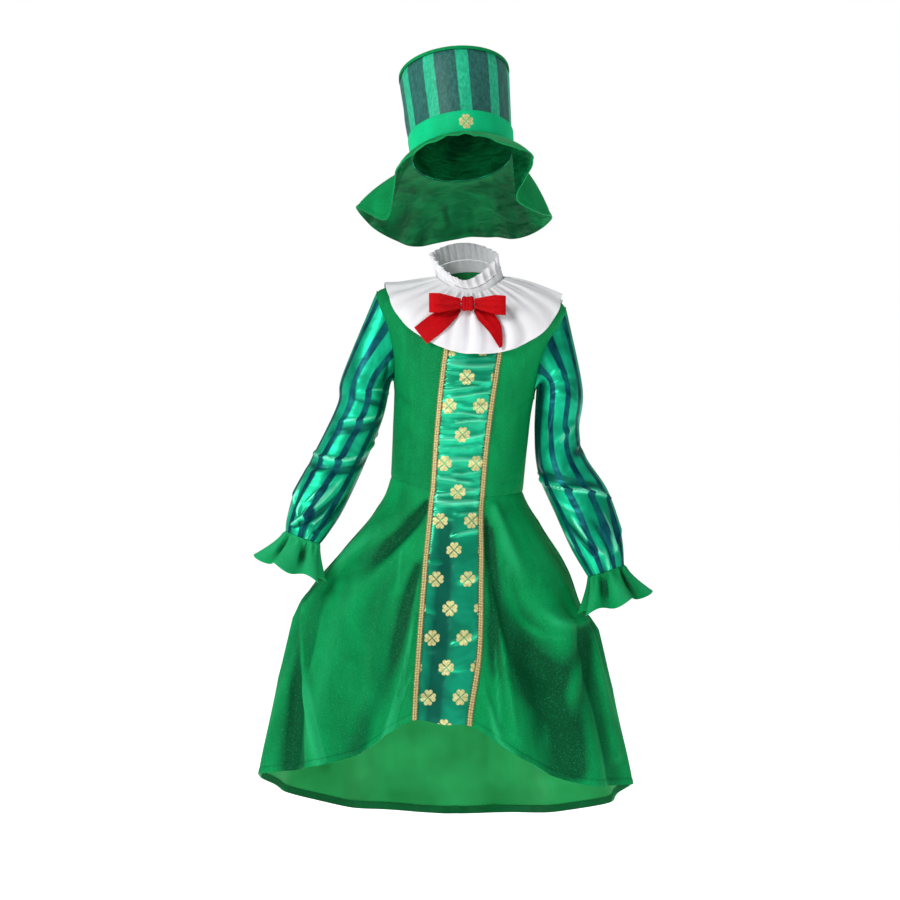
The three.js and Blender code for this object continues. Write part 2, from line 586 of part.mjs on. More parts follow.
function bow() {
  const knotBack = frontAt(BOW.x, BOW.z) - BOW_OVER;
  const knotMiddle = knotBack - BOW.knotDeep / 2;
  const knot = new THREE.SphereGeometry(1, 12, 8);
  const squared = (value) => Math.sign(value) * Math.abs(value) ** BOW.squareness;
  const forward = LOOP_FORWARD / (BOW.knotDeep / 2);
  const knotSide = (BOW.knotWide / 2) * (1 - forward ** (2 / BOW.squareness)) ** (BOW.squareness / 2);
  const spots = knot.getAttribute('position');
  for (let k = 0; k < spots.count; k += 1) {
    spots.setXYZ(k,
      BOW.x + (BOW.knotWide / 2) * squared(spots.getX(k)),
      knotMiddle + (BOW.knotDeep / 2) * squared(spots.getY(k)),
      BOW.z + (BOW.knotHigh / 2) * squared(spots.getZ(k)));
  }
  addPiece('bow_knot', knot, COLOURS.bow);
  for (const [side, sign] of [['right', -1], ['left', 1]]) {
    const size = BOW_LOOPS[side];
    const loop = (turn, share) => {
      const out = 0.5 - 0.5 * Math.cos(radians(turn));
      const high = size.knotHigh + (size.endHigh - size.knotHigh) * Math.min(1, 1.5 * out);
      return new THREE.Vector3(
        BOW.x + sign * (knotSide + 2 * SEAM_GAP + size.length * out),
        knotMiddle - LOOP_FORWARD - (size.deep / 2) * Math.sin(radians(turn)) * (0.45 + 0.55 * out),
        BOW.z + size.rise * out + (share - 0.5) * high,
      );
    };
    addPiece(`bow_loop_${side}`, clothWall(loop, (i, j) => [(360 * i) / 20, j / 3], 20, 3,
      { thick: RIBBON, round: true, sense: sign }), COLOURS.bow);
    const rows = BOW_TAILS[side];
    const tail = (across, share) => {
      const at = share * (rows.length - 1);
      const part = (name, place) => smoothRow(rows.map((row) => row[name]), place, mixNumbers);
      const x = part('x', at);
      const z = part('z', at);
      const along = new THREE.Vector2(part('x', at + 0.01) - part('x', at - 0.01),
        part('z', at + 0.01) - part('z', at - 0.01)).normalize();
      along.lerpVectors(new THREE.Vector2(sign, 0), along, Math.min(1, 4 * share)).normalize();
      const half = part('half', at) * across;
      const [px, pz] = [x - along.y * half, z + along.x * half];
      const over = TAIL_OVER.knot + (TAIL_OVER.end - TAIL_OVER.knot) * share;
      return new THREE.Vector3(px, frontAt(px, pz) - over, pz);
    };
    addPiece(`bow_tail_${side}`, clothWall(tail, (i, j) => [i - 1, j / 5], 2, 5,
      { thick: RIBBON, sense: 1 }), COLOURS.bow);
  }
}

// ================= hat =================

const HAT_TURN = new THREE.Matrix4().makeRotationY(radians(HAT_LEAN))
  .multiply(new THREE.Matrix4().makeRotationX(radians(-HAT_TILT_BACK)));

/** From the hat's own axes (right, back, up) to the costume's. */
const placeHat = (p) => p.applyMatrix4(HAT_TURN).add(HAT_BASE);

function crownPoint(angle, up) {
  const share = up / CROWN_HEIGHT;
  const wide = HEAD_HALF.wide + (CROWN_TOP.wide - HEAD_HALF.wide) * share;
  const deep = HEAD_HALF.deep + (CROWN_TOP.deep - HEAD_HALF.deep) * share;
  return placeHat(new THREE.Vector3(wide * Math.sin(radians(angle)), -deep * Math.cos(radians(angle)), up));
}

function brimPoint(angle, share) {
  const start = crownPoint(angle, -SEAM_GAP - 0.3);
  const out = share * (1.25 - 0.25 * share);
  return start.add(new THREE.Vector3(
    roundColumn(BRIM_REACH, angle, 'side') * out,
    roundColumn(BRIM_REACH, angle, 'back') * out,
    roundColumn(BRIM_REACH, angle, 'up') * eased(share, 1.35),
  ));
}

function hat() {
  const sideColumns = 32;
  const side = (i, j) => [(360 * i) / sideColumns, (CROWN_HEIGHT * j) / 4];
  addPiece('hat_side', clothWall(crownPoint, side, sideColumns, 4, { thick: VELVET, round: true }), COLOURS.crown);
  const band = (i, j) => [(360 * i) / sideColumns, j === 0 ? 0.2 : HAT_BAND_HEIGHT * j];
  addPiece('hat_band', clothWall(crownPoint, band, sideColumns, 1,
    { thick: VELVET, lift: VELVET + LAY_GAP, round: true }), COLOURS.band);
  const brimColumns = 52;
  const brim = (i, j) => [(360 * i) / brimColumns, j / 5];
  addPiece('hat_brim', clothWall(brimPoint, brim, brimColumns, 5,
    { thick: BRIM_THICK, round: true, sense: -1 }), COLOURS.velvet);
  const profile = [
    new THREE.Vector2(0, HAT_TIP_DOME), new THREE.Vector2(0.6, HAT_TIP_DOME * 0.7), new THREE.Vector2(1, 0),
    new THREE.Vector2(1, VELVET), new THREE.Vector2(0.6, HAT_TIP_DOME * 0.7 + VELVET),
    new THREE.Vector2(0, HAT_TIP_DOME + VELVET),
  ];
  const tip = new THREE.LatheGeometry(profile, sideColumns);
  tip.rotateX(Math.PI / 2);
  tip.scale(CROWN_TOP.wide, CROWN_TOP.deep, 1);
  tip.translate(0, 0, CROWN_HEIGHT + SEAM_GAP);
  tip.applyMatrix4(HAT_TURN);
  tip.translate(...HAT_BASE.toArray());
  addPiece('hat_tip', tip, COLOURS.velvet);
}

bodicePieces();
stripAndBraid();
skirtPieces();
collar();
sleevesAndCuffs();
bow();
hat();

export default costume;
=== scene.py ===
"""A child's leprechaun costume: velvet dress with a satin strip, striped sleeves, white collar, red bow
and a soft striped top hat. Every cloth piece is a thin shell on the form, or nearly the form, that the
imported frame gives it. Lengths in the tables are millimetres, and the meshes are made in metres."""

import bpy
import numpy as np
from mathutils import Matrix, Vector


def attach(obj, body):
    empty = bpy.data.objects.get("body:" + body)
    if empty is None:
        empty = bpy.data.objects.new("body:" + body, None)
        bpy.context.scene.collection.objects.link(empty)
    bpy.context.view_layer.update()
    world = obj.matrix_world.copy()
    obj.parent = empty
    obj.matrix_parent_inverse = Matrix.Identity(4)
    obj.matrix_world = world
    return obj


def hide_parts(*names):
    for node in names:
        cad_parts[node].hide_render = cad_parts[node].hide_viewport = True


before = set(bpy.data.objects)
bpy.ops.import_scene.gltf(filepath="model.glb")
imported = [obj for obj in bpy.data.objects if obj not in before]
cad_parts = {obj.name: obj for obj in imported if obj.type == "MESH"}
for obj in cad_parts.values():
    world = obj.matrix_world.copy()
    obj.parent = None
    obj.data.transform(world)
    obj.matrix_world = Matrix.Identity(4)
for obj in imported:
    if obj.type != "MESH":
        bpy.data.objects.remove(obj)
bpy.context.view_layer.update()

bl_info = {
    "name": "Leprechaun costume",
    "version": (1, 0, 0),
    "blender": (4, 5, 0),
    "location": "3D View > Sidebar > Costume",
    "description": "Makes the cloth pieces of the costume and its studio",
    "category": "Object",
}

MM = 0.001


def table(columns, *rows):
    """A short table as one array for each named column."""
    return dict(zip(columns.split(), np.array(rows, float).T))


# ================= the costume's sizes =================
# The forms are those of the frame. The trimmings differ from it: the braids' width and upper ends, the
# hem facing's depth, the front of the collar, the cuffs' waves, the sleeves' tucked tops and the bow's place.

VELVET, SATIN, WHITE_CLOTH, RIBBON, BRIM_CLOTH = 1.5, 1.0, 1.2, 1.2, 2.0
BRAID_THICK, BRAID_WIDTH = 1.2, 7.0
SEAM_GAP, LAY_GAP = 0.3, 0.5

BODICE = table(
    "side front back lean middle half_width front_depth back_depth",
    (-285, -300, -280, 11, -5, 97, 75, 70), (-215, -220, -214, 12, 0, 99, 80, 77),
    (-148, -152, -150, 13, 5, 103, 86, 84), (-76, -114, -102, 11, 10, 121, 84, 88),
    (-18, -78, -55, 12, 16, 140, 78, 82), (4, -40, -3, 3, 15, 98, 66, 66), (17, -8, 30, 0, 15, 50, 50, 48))
ARMPIT, SHOULDER, NECK = 2, 4, 6
ARMHOLE_FRONT, ARMHOLE_BACK = 22, 24

SKIRT = table(
    "down right left front back",
    (0, -102, 92, 75, 70), (0.1, -122, 116, 84, 86), (0.25, -174, 156, 97, 112), (0.38, -224, 178, 106, 132),
    (0.47, -247, 205, 112, 143), (0.67, -268, 225, 127, 166), (1, -294, 250, 150, 198))
HEM = table(
    "angle z",
    (-180, -797), (-150, -787), (-120, -752), (-90, -716), (-60, -697), (-45, -687), (-30, -670),
    (-20, -646), (-10, -616), (0, -622), (8, -625), (20, -662), (30, -688), (45, -711), (60, -719),
    (90, -728), (120, -770), (150, -794))
FOLDS = table(
    "top hem start mid low width",
    (-18, -15, 0.2, 4, 12, 6), (-27, -31, 0, -14, -18, 8), (-44, -45, 0.2, 6, 12, 7),
    (-62, -60, 0.2, -14, -14, 7), (-78, -77, 0.3, -8, 6, 6), (-104, -106, 0.2, -16, -8, 9),
    (-124, -124, 0.15, 8, 12, 8), (-142, -141, 0.1, -10, -16, 8), (-161, -160, 0.15, 7, 14, 8),
    (180, 179, 0.1, -9, -15, 8), (160, 158, 0.15, 8, 13, 8), (140, 139, 0.1, -11, -16, 8),
    (121, 120, 0.2, 8, 11, 8), (103, 104, 0.2, -16, -8, 8), (79, 80, 0.3, -8, 6, 6),
    (63, 66, 0.2, -14, -12, 7), (47, 51, 0.2, 6, 12, 7), (33, 36, 0.05, -13, -18, 7),
    (22, 22, 0.15, 6, 12, 6))
HEM_FACING = 0.022

STRIP = table(
    "level right left",
    (6, -17, 46), (4, -20, 55), (3, -23, 53), (0, -39.5, 31), (-0.28, -49, 29.5), (-0.67, -58.5, 26.5),
    (-1, -65, 12))

FLOUNCE_EDGE = table(
    "angle level",
    (-135, 3.9), (-90, 4.47), (-60, 4.22), (-44, 3.8), (-30, 3.6), (-15, 3.47), (0, 3.44), (25, 3.52),
    (41, 3.72), (54, 3.98), (70, 4.26), (90, 4.38), (135, 3.9), (180, 3.6))
FLOUNCE_OVER, FLOUNCE_RIPPLES, FLOUNCE_RIPPLE = 2.1, 18, 6
BAND_FRONT, BAND_BACK, FRILL_FRONT, FRILL_BACK, NECK_DIP = 6, 18, 12, 25, 0.55
FRILL_PLEATS, FRILL_PLEAT, NECK_LEAN = 26, 2.6, -9

SLEEVES = {
    "right": table(
        "x y z wide deep",
        (-138, 0, -132, 36, 40), (-147, -2, -178, 35, 38), (-177, -8, -248, 37, 39),
        (-206, -24, -308, 38, 39), (-222, -42, -345, 32, 33), (-228, -50, -361, 27, 27)),
    "left": table(
        "x y z wide deep",
        (146, 0, -142, 34, 39), (142, -1, -205, 33, 38), (149, -7, -256, 37, 39),
        (177, -22, -311, 42, 41), (198, -38, -368, 38, 37), (211, -47, -409, 28, 28)),
}
CUFF_LENGTH, CUFF_OUTER, CUFF_INNER = 50, 27, 16
CUFF_WAVES, CUFF_WAVE, CUFF_EDGE_WAVE = 6, 8, 3
CUFF_DIRECTION = {"right": (-0.26, -0.28, -0.92), "left": (0.15, -0.26, -0.95)}

BOW_X, BOW_Z, KNOT_WIDE, KNOT_HIGH, KNOT_DEEP = 10.5, -24.5, 19, 22, 15
BOW_OVER, LOOP_FORWARD, TAIL_KNOT, TAIL_END = 9.3, 6, 7.5, 11.5
LOOPS = {"right": (46, 28, 1), "left": (45, 28, -3)}  # length, height at the end, rise
LOOP_KNOT, LOOP_DEEP = 14, 12
TAILS = {
    "right": table("x z half", (0.4, -29.5, 6), (-12, -36, 11), (-34, -53, 15), (-57, -71, 15)),
    "left": table("x z half", (20.6, -30.5, 6), (34, -41, 11), (49, -60, 10), (58, -88, 2.5)),
}

HAT_BASE, HAT_TILT, HAT_LEAN = (3, -10, 195), 16, -5.5
HEAD_WIDE, HEAD_DEEP, TOP_WIDE, TOP_DEEP = 74, 90, 82, 95
CROWN_HEIGHT, HAT_BAND, HAT_TIP_DOME = 131, 32, 5
BRIM = table(
    "angle side back up",
    (-180, 2, 63, -80), (-155, -40, 45, -95), (-140, -54, 27, -91), (-120, -73, 10, -78),
    (-105, -85, -13, -60), (-92, -44, -38, -87), (-82, -31, -43, -80), (-72, -29, -48, -60),
    (-60, -31, -57, -40), (-45, -21, -74, -26), (-25, -6, -87, -16), (0, 0, -94, -14), (25, 6, -90, -19),
    (45, 44, -56, -31), (60, 38, -50, -36), (75, 17, -50, -60), (86, 6, -45, -78), (95, 38, -22, -88),
    (105, 62, 4, -85), (120, 50, 22, -95), (140, 35, 36, -96), (157, 22, 50, -86))


# ================= smooth values between the rows of a table =================

def smooth_rows(rows, place):
    """Smooth curve through rows at fractional places; a row is a number, or one value for each place."""
    rows = np.asarray(rows, float)
    place = np.asarray(place, float)
    last = len(rows) - 1
    k = np.clip(np.floor(place).astype(int), 0, last - 1)
    t = place - k
    weights = (-0.5 * t + t * t - 0.5 * t ** 3, 1 - 2.5 * t * t + 1.5 * t ** 3,
               0.5 * t + 2 * t * t - 1.5 * t ** 3, -0.5 * t * t + 0.5 * t ** 3)
    each = np.arange(len(place))
    total = 0
    for shift, weight in zip((-1, 0, 1, 2), weights):
        at = np.clip(k + shift, 0, last)
        row = rows[at] if rows.ndim == 1 else rows[at, each]
        total = total + weight.reshape(weight.shape + (1,) * (row.ndim - 1)) * row
    return total


def column(sizes, key, at, name):
    """A column's value at places given by the key column, smooth between the rows."""
    keys = sizes[key]
    sense = 1 if keys[1] > keys[0] else -1
    k = np.clip(np.searchsorted(sense * keys, sense * at, side="right") - 1, 0, len(keys) - 2)
    return smooth_rows(sizes[name], k + (at - keys[k]) / (keys[k + 1] - keys[k]))


def round_column(sizes, angle, name):
    """The same round a closed table of angles, which repeats after 360 degrees."""
    keys = sizes["angle"]
    whole = {"angle": np.concatenate([keys - 360, keys, keys + 360]), name: np.tile(sizes[name], 3)}
    return column(whole, "angle", (angle - keys[0]) % 360 + keys[0], name)


def sine(degrees):
    return np.sin(np.radians(degrees))


def cosine(degrees):
    return np.cos(np.radians(degrees))


def smoothstep(value, low, high):
    t = np.clip((value - low) / (high - low), 0, 1)
    return t * t * (3 - 2 * t)


def wrap(angle):
    return angle - 360 * np.round(angle / 360)


def points(x, y, z):
    return np.stack(np.broadcast_arrays(x, y, z), axis=-1).astype(float)


def unit(vectors):
    return vectors / np.maximum(np.linalg.norm(vectors, axis=-1, keepdims=True), 1e-9)


def normals(surface, u, v, sense=1):
    """Outward unit normals of a surface, by small steps of its two parameters."""
    du = surface(u + 0.05, v) - surface(u - 0.05, v)
    dv = surface(u, v + 0.002) - surface(u, v - 0.002)
    return unit(np.cross(du, dv)) * sense


# ================= the forms that the cloth lies on =================

def bodice(angle, level):
    """Bodice at angles round the body (0 front, 90 the wearer's left), from the waist 0 to the neck 6."""
    s, c = sine(angle), cosine(angle)
    rings = []
    for k, side in enumerate(BODICE["side"]):
        forward = np.where(c > 0, BODICE["front"][k], BODICE["back"][k])
        depth = np.where(c > 0, BODICE["front_depth"][k], BODICE["back_depth"][k])
        rings.append(points(BODICE["middle"][k] + BODICE["half_width"][k] * s, -depth * c,
                            side + (forward - side) * c * c - BODICE["lean"][k] * s))
    return smooth_rows(rings, level)


def fold_depth(angle, down):
    """How far the large folds push the skirt out."""
    total = 0
    for top, hem, start, mid, low, width in zip(*FOLDS.values()):
        ease = smoothstep(down, start, 0.55)
        depth = ease * (mid + (low - mid) * np.maximum(0, (down - 0.5) / 0.5))
        away = wrap(angle - top - wrap(hem - top) * down) / width
        total = total + depth * np.exp(-away * away)
    return total


def skirt(angle, down):
    s, c = sine(angle), cosine(angle)
    right, left = column(SKIRT, "down", down, "right"), column(SKIRT, "down", down, "left")
    depth = np.where(c > 0, column(SKIRT, "down", down, "front"), column(SKIRT, "down", down, "back"))
    waist = bodice(angle, np.zeros_like(down))[..., 2]
    fold = fold_depth(angle, down)
    return points((right + left) / 2 + ((left - right) / 2 + fold) * s, -(depth + fold) * c,
                  waist + (round_column(HEM, angle, "z") - waist) * down)


def dress(angle, level):
    """The whole dress: levels 0 to 6 are the bodice, 0 to -1 the skirt."""
    on_skirt = (level < 0)[:, None]
    return np.where(on_skirt, skirt(angle, np.maximum(-level, 0)), bodice(angle, np.maximum(level, 0)))


def angle_at(x, level):
    """Angle at which the dress's front has a given x."""
    low, high = np.full_like(level, -80), np.full_like(level, 80)
    for _ in range(30):
        middle = (low + high) / 2
        under = dress(middle, level)[..., 0] < x
        low, high = np.where(under, middle, low), np.where(under, high, middle)
    return (low + high) / 2


def strip_angle(side, level, extra=0):
    return angle_at(column(STRIP, "level", level, side) + extra, level)


def armhole_take(level, widest):
    away = (level - (ARMPIT + SHOULDER) / 2) / ((SHOULDER - ARMPIT) / 2)
    return widest * np.sqrt(np.maximum(0, 1 - away * away))


def front_to_back(front, back, angle):
    return front + (back - front) * np.maximum(0, 0.5 - 0.5 * cosine(angle)) ** NECK_DIP


def neck(angle, up):
    """The standing collar over the neckline; up is the height above it."""
    at = bodice(angle, np.full_like(angle, NECK))
    share = up / front_to_back(BAND_FRONT + FRILL_FRONT, BAND_BACK + FRILL_BACK, angle)
    narrow = 1 - 0.08 * share
    middle = BODICE["middle"][NECK]
    return points(middle + (at[:, 0] - middle) * narrow + NECK_LEAN * share, at[:, 1] * narrow,
                  at[:, 2] + up)


def frill(angle, share):
    up = front_to_back(BAND_FRONT, BAND_BACK, angle) + SEAM_GAP * 2
    up = up + front_to_back(FRILL_FRONT, FRILL_BACK, angle) * share
    uneven = 1 + 0.22 * sine(angle * 3 + 20) + 0.15 * sine(angle * 7)
    pleat = FRILL_PLEAT * uneven * (0.25 + 0.75 * share) * sine(angle * FRILL_PLEATS + 25 * sine(angle * 2))
    out = (pleat + 3 * share * share)[:, None]
    return neck(angle, up) + out * points(sine(angle), -cosine(angle), 0 * angle)


def flounce(angle, share):
    """The wide collar on the bodice, from the neckline to its rippled edge."""
    edge = round_column(FLOUNCE_EDGE, angle, "level")
    level = NECK - 0.06 - (NECK - 0.06 - edge) * share
    swell = 0.7 + 0.3 * sine(angle * 5)
    ripple = 0.5 + 0.5 * sine(angle * FLOUNCE_RIPPLES) * swell
    over = FLOUNCE_OVER + WHITE_CLOTH + (1.5 + FLOUNCE_RIPPLE * ripple) * np.maximum(share, 0) ** 1.2
    return bodice(angle, level) + over[:, None] * normals(bodice, angle, level)


def sleeve_ring(side, k, angle):
    sign = 1 if side == "left" else -1
    s, c = sine(angle), cosine(angle)
    middle_level = (ARMPIT + SHOULDER) / 2
    if k == 0:
        take = np.where(s > 0, ARMHOLE_FRONT, ARMHOLE_BACK)
        at = bodice(sign * (90 - take * s), middle_level + c * ((SHOULDER - ARMPIT) / 2))
        inwards = bodice(np.full_like(angle, sign * 90), np.full_like(angle, middle_level)) - at
        inwards[:, 0] = 0
        return at + unit(inwards) * (SEAM_GAP + 0.2) + np.array([sign * 0.2, 0, 0])
    rings = SLEEVES[side]
    last = len(rings["x"]) - 1
    before, after = max(k - 2, 0), min(k, last)
    along = unit(np.array([
        rings["x"][after] - rings["x"][before], 0, rings["z"][after] - rings["z"][before]]))
    outward = np.array([-along[2] * sign, 0, along[0] * sign])
    at = np.array([rings["x"][k - 1], rings["y"][k - 1], rings["z"][k - 1]])
    return at + (rings["wide"][k - 1] * c)[:, None] * outward + points(0, -rings["deep"][k - 1] * s, 0)


def sleeve(side, angle, share):
    count = len(SLEEVES[side]["x"])
    return smooth_rows([sleeve_ring(side, k, angle) for k in range(count + 1)], share * count)


def cuff(side, angle, share):
    rings = SLEEVES[side]
    wrist = np.array([rings["x"][-1], rings["y"][-1], rings["z"][-1]])
    start = sleeve(side, angle, np.ones_like(share))
    outward = unit(start - wrist)
    flare = CUFF_OUTER + (CUFF_INNER - CUFF_OUTER) * (0.5 - 0.5 * cosine(angle))
    wave = sine(angle * CUFF_WAVES + 20 * sine(2 * angle))
    reach = 2 * SEAM_GAP + CUFF_LENGTH * share - CUFF_EDGE_WAVE * share * share * cosine(angle * CUFF_WAVES)
    spread = flare * np.maximum(share, 0) ** 1.3 + CUFF_WAVE * wave * share
    return start + reach[:, None] * unit(np.array(CUFF_DIRECTION[side])) + spread[:, None] * outward


def front_at(x, z):
    """y of the bodice's front at a given x and height."""
    low, high = np.full_like(x, ARMPIT), np.full_like(x, NECK)
    for _ in range(20):
        level = (low + high) / 2
        under = bodice(angle_at(x, level), level)[..., 2] < z
        low, high = np.where(under, level, low), np.where(under, high, level)
    return bodice(angle_at(x, low), low)[..., 1]


def place_hat(at):
    """From the hat's own axes (right, back, up) to the costume's."""
    lean, tilt = np.radians(HAT_LEAN), np.radians(-HAT_TILT)
    turn_y = np.array([[np.cos(lean), 0, np.sin(lean)], [0, 1, 0], [-np.sin(lean), 0, np.cos(lean)]])
    turn_x = np.array([[1, 0, 0], [0, np.cos(tilt), -np.sin(tilt)], [0, np.sin(tilt), np.cos(tilt)]])
    return at @ (turn_y @ turn_x).T + np.array(HAT_BASE)


def crown(angle, up):
    share = up / CROWN_HEIGHT
    wide, deep = HEAD_WIDE + (TOP_WIDE - HEAD_WIDE) * share, HEAD_DEEP + (TOP_DEEP - HEAD_DEEP) * share
    return place_hat(points(wide * sine(angle), -deep * cosine(angle), up))


def brim(angle, share):
    out = share * (1.25 - 0.25 * share)
    return crown(angle, np.full_like(angle, -SEAM_GAP - 0.3)) + points(
        round_column(BRIM, angle, "side") * out, round_column(BRIM, angle, "back") * out,
        round_column(BRIM, angle, "up") * np.maximum(share, 0) ** 1.35)


# ================= cloth shells =================

def grid(first, last, across, levels):
    """Parameters of a grid: columns from first to last (numbers, or one for each row) at each level."""
    share = np.linspace(0, 1, across + 1)[None, :]
    levels = np.asarray(levels, float)
    first, last = np.broadcast_to(first, levels.shape), np.broadcast_to(last, levels.shape)
    u = first[:, None] + (last - first)[:, None] * share
    return u, np.broadcast_to(levels[:, None], u.shape).copy()


def arc_lengths(at):
    """Mean length of the cloth across and along, at each column and row of a grid of points."""
    across = np.linalg.norm(np.diff(at, axis=1), axis=-1).mean(axis=0)
    along = np.linalg.norm(np.diff(at, axis=0), axis=-1).mean(axis=1)
    across, along = np.concatenate([[0], np.cumsum(across)]), np.concatenate([[0], np.cumsum(along)])
    return np.meshgrid(across, along)


def shell(name, surface, u, v, thick, materials, lift=0.0, relief=0.0, closed=False, sense=1, flat=None,
          fold=None):
    """A closed thin wall on part of a surface, as one object.

    u and v are grids of the surface's parameters. relief raises the cloth by its own amount at each
    place. A closed shell joins its last column to its first. flat gives the cloth's own coordinates,
    which the patterns use. fold, the relief unless given, carries the painted shade and highlight: the
    height of the folds, and offsets that paint shade or light where there is no fold. The materials are
    the face's and, where given, the wrong side's."""
    rows, columns = u.shape
    at = surface(u.ravel(), v.ravel())
    out = normals(surface, u.ravel(), v.ravel(), sense)
    outer = at + out * (lift + np.broadcast_to(relief, u.shape).ravel()[:, None])
    inner = outer - out * thick
    across, along = flat if flat is not None else arc_lengths(outer.reshape(rows, columns, 3))
    cell = np.arange(rows * columns).reshape(rows, columns)
    a, b, c, d = cell[:-1, :-1], cell[:-1, 1:], cell[1:, 1:], cell[1:, :-1]
    shift = rows * columns
    faces = [np.stack([a, b, c, d], -1).reshape(-1, 4), np.stack([a, d, c, b], -1).reshape(-1, 4) + shift]
    first, last, begin, end = cell[0], cell[-1], cell[:, 0], cell[:, -1]
    rims = [(first[1:], first[:-1]), (last[:-1], last[1:])]
    if not closed:
        rims += [(begin[:-1], begin[1:]), (end[1:], end[:-1])]
    for near, far in rims:
        faces.append(np.stack([near, far, far + shift, near + shift], -1))
    kinds = np.repeat([0, 1, 0], [len(faces[0]), len(faces[1]), sum(len(f) for f in faces[2:])])
    corners = np.concatenate(faces)
    spots = np.concatenate([outer, inner]) * MM
    real = np.arange(2 * shift)
    if closed:
        for part in (0, shift):
            real[cell[:, -1] + part] = cell[:, 0] + part
    quads = real[corners]
    p = spots[quads]
    volume = np.einsum("ij,ij->i", p[:, 0], np.cross(p[:, 1], p[:, 2])).sum()
    volume += np.einsum("ij,ij->i", p[:, 0], np.cross(p[:, 2], p[:, 3])).sum()
    if volume < 0:
        quads, corners = quads[:, ::-1], corners[:, ::-1]
    used, quads = np.unique(quads, return_inverse=True)
    mesh = bpy.data.meshes.new(name)
    mesh.from_pydata(spots[used].tolist(), [], quads.reshape(-1, 4).tolist())
    cloth = np.tile(np.stack([across.ravel(), along.ravel()], -1), (2, 1)) * MM
    mesh.uv_layers.new(name="cloth").data.foreach_set("uv", cloth[corners.ravel()].ravel())
    heights = np.broadcast_to(relief if fold is None else fold, u.shape).ravel()
    mesh.attributes.new("fold", "FLOAT", "POINT").data.foreach_set("value", np.tile(heights, 2)[used])
    for material in materials:
        mesh.materials.append(material)
    if len(materials) > 1:
        mesh.polygons.foreach_set("material_index", kinds.astype(np.int32))
    mesh.shade_smooth()
    mesh.set_sharp_from_angle(angle=np.radians(55))
    piece = bpy.data.objects.new(name, mesh)
    bpy.context.scene.collection.objects.link(piece)
    return piece


def creases(lines, x, z):
    """Height of soft ridges (+) and troughs (-) at places of the cloth.

    Each line bends from its start over its middle to its end, and has its own depth, a half width
    and a strength at each end. Ridges are sharper than hollows."""
    total = np.zeros_like(x)
    steps = np.linspace(0, 1, 9)
    for x0, z0, xm, zm, x1, z1, depth, w0, w1, s0, s1 in zip(*lines.values()):
        bend_x, bend_z = 2 * xm - (x0 + x1) / 2, 2 * zm - (z0 + z1) / 2
        px = (1 - steps) ** 2 * x0 + 2 * steps * (1 - steps) * bend_x + steps ** 2 * x1
        pz = (1 - steps) ** 2 * z0 + 2 * steps * (1 - steps) * bend_z + steps ** 2 * z1
        best, place = np.full_like(x, 1e9), np.zeros_like(x)
        for k in range(8):
            dx, dz = px[k + 1] - px[k], pz[k + 1] - pz[k]
            t = np.clip(((x - px[k]) * dx + (z - pz[k]) * dz) / (dx * dx + dz * dz), 0, 1)
            away = np.hypot(x - px[k] - t * dx, z - pz[k] - t * dz)
            nearer = away < best
            best, place = np.where(nearer, away, best), np.where(nearer, (k + t) / 8, place)
        strength = np.interp(place, (0, 0.25, 0.5, 0.75, 1), (s0, 0.5 + 0.5 * s0, 1, 0.5 + 0.5 * s1, s1))
        half = (w0 + (w1 - w0) * place) * (RIDGE_SHARP if depth > 0 else 1)
        total += depth * strength * np.exp(-(best / half) ** 2)
    return total


CREASE = "x0 z0 xm zm x1 z1 depth w0 w1 s0 s1"
RIDGE_SHARP = 0.65

# ================= materials =================

def colour(hex_value):
    """sRGB hex to linear, with alpha."""
    parts = [int(hex_value[k:k + 2], 16) / 255 for k in (1, 3, 5)]
    return tuple(c / 12.92 if c <= 0.04045 else ((c + 0.055) / 1.055) ** 2.4 for c in parts) + (1.0,)


def add_node(tree, kind, inputs=None, **settings):
    """Adds a node. Settings are its properties, inputs its sockets' values or the sockets that feed them."""
    node = tree.nodes.new("ShaderNode" + kind)
    for name, value in settings.items():
        setattr(node, name, value)
    for name, value in (inputs or {}).items():
        if isinstance(value, bpy.types.NodeSocket):
            tree.links.new(value, node.inputs[name])
        else:
            node.inputs[name].default_value = value
    return node


def new_material(name, **sockets):
    """A material with one surface shader; the sockets given are the same all over."""
    material = bpy.data.materials.new(name)
    material.use_nodes = True
    tree = material.node_tree
    surface = tree.nodes["Principled BSDF"]
    for socket, value in sockets.items():
        surface.inputs[socket.replace("_", " ")].default_value = value
    return material, tree, surface


def cloth_place(tree):
    """Coordinates on the cloth itself, in metres across and along it."""
    return add_node(tree, "UVMap", uv_map="cloth").outputs["UV"]


def noise(tree, size, detail=2.0, stretch=None, **inputs):
    """Noise with features of a given size in metres; stretch makes it shorter along some axes."""
    place = add_node(tree, "TexCoord").outputs["Object"]
    if stretch is not None:
        place = add_node(tree, "Mapping", {"Vector": place, "Scale": stretch}).outputs["Vector"]
    return add_node(tree, "TexNoise", {"Vector": place, "Scale": 1 / size, "Detail": detail,
                                       **inputs}).outputs["Fac"]


def spread(tree, value, low, high, to_min=0.0, to_max=1.0):
    return add_node(tree, "MapRange", {"Value": value, "From Min": low, "From Max": high, "To Min": to_min,
                                       "To Max": to_max}).outputs[0]


def away_from(tree, value, middle):
    away = add_node(tree, "Math", {0: value, 1: middle}, operation="SUBTRACT").outputs[0]
    return add_node(tree, "Math", {0: away}, operation="ABSOLUTE").outputs[0]


def band(tree, value, middle, half, soft, strength=1.0):
    """The strength within half of the middle, falling to 0 over the soft width."""
    return spread(tree, away_from(tree, value, middle), half + soft, half - soft, 0.0, strength)


def wrinkles(tree, size, stretch=None, **inputs):
    """Sharp small folds: 0 along thin winding lines, and rising to 1 between them."""
    return spread(tree, away_from(tree, noise(tree, size, 2.0, stretch, **inputs), 0.5), 0.0, 0.11)


def mix(tree, factor, first, second, blend="MIX"):
    node = add_node(tree, "Mix", {0: factor, 6: first, 7: second}, data_type="RGBA", blend_type=blend)
    return node.outputs[2]


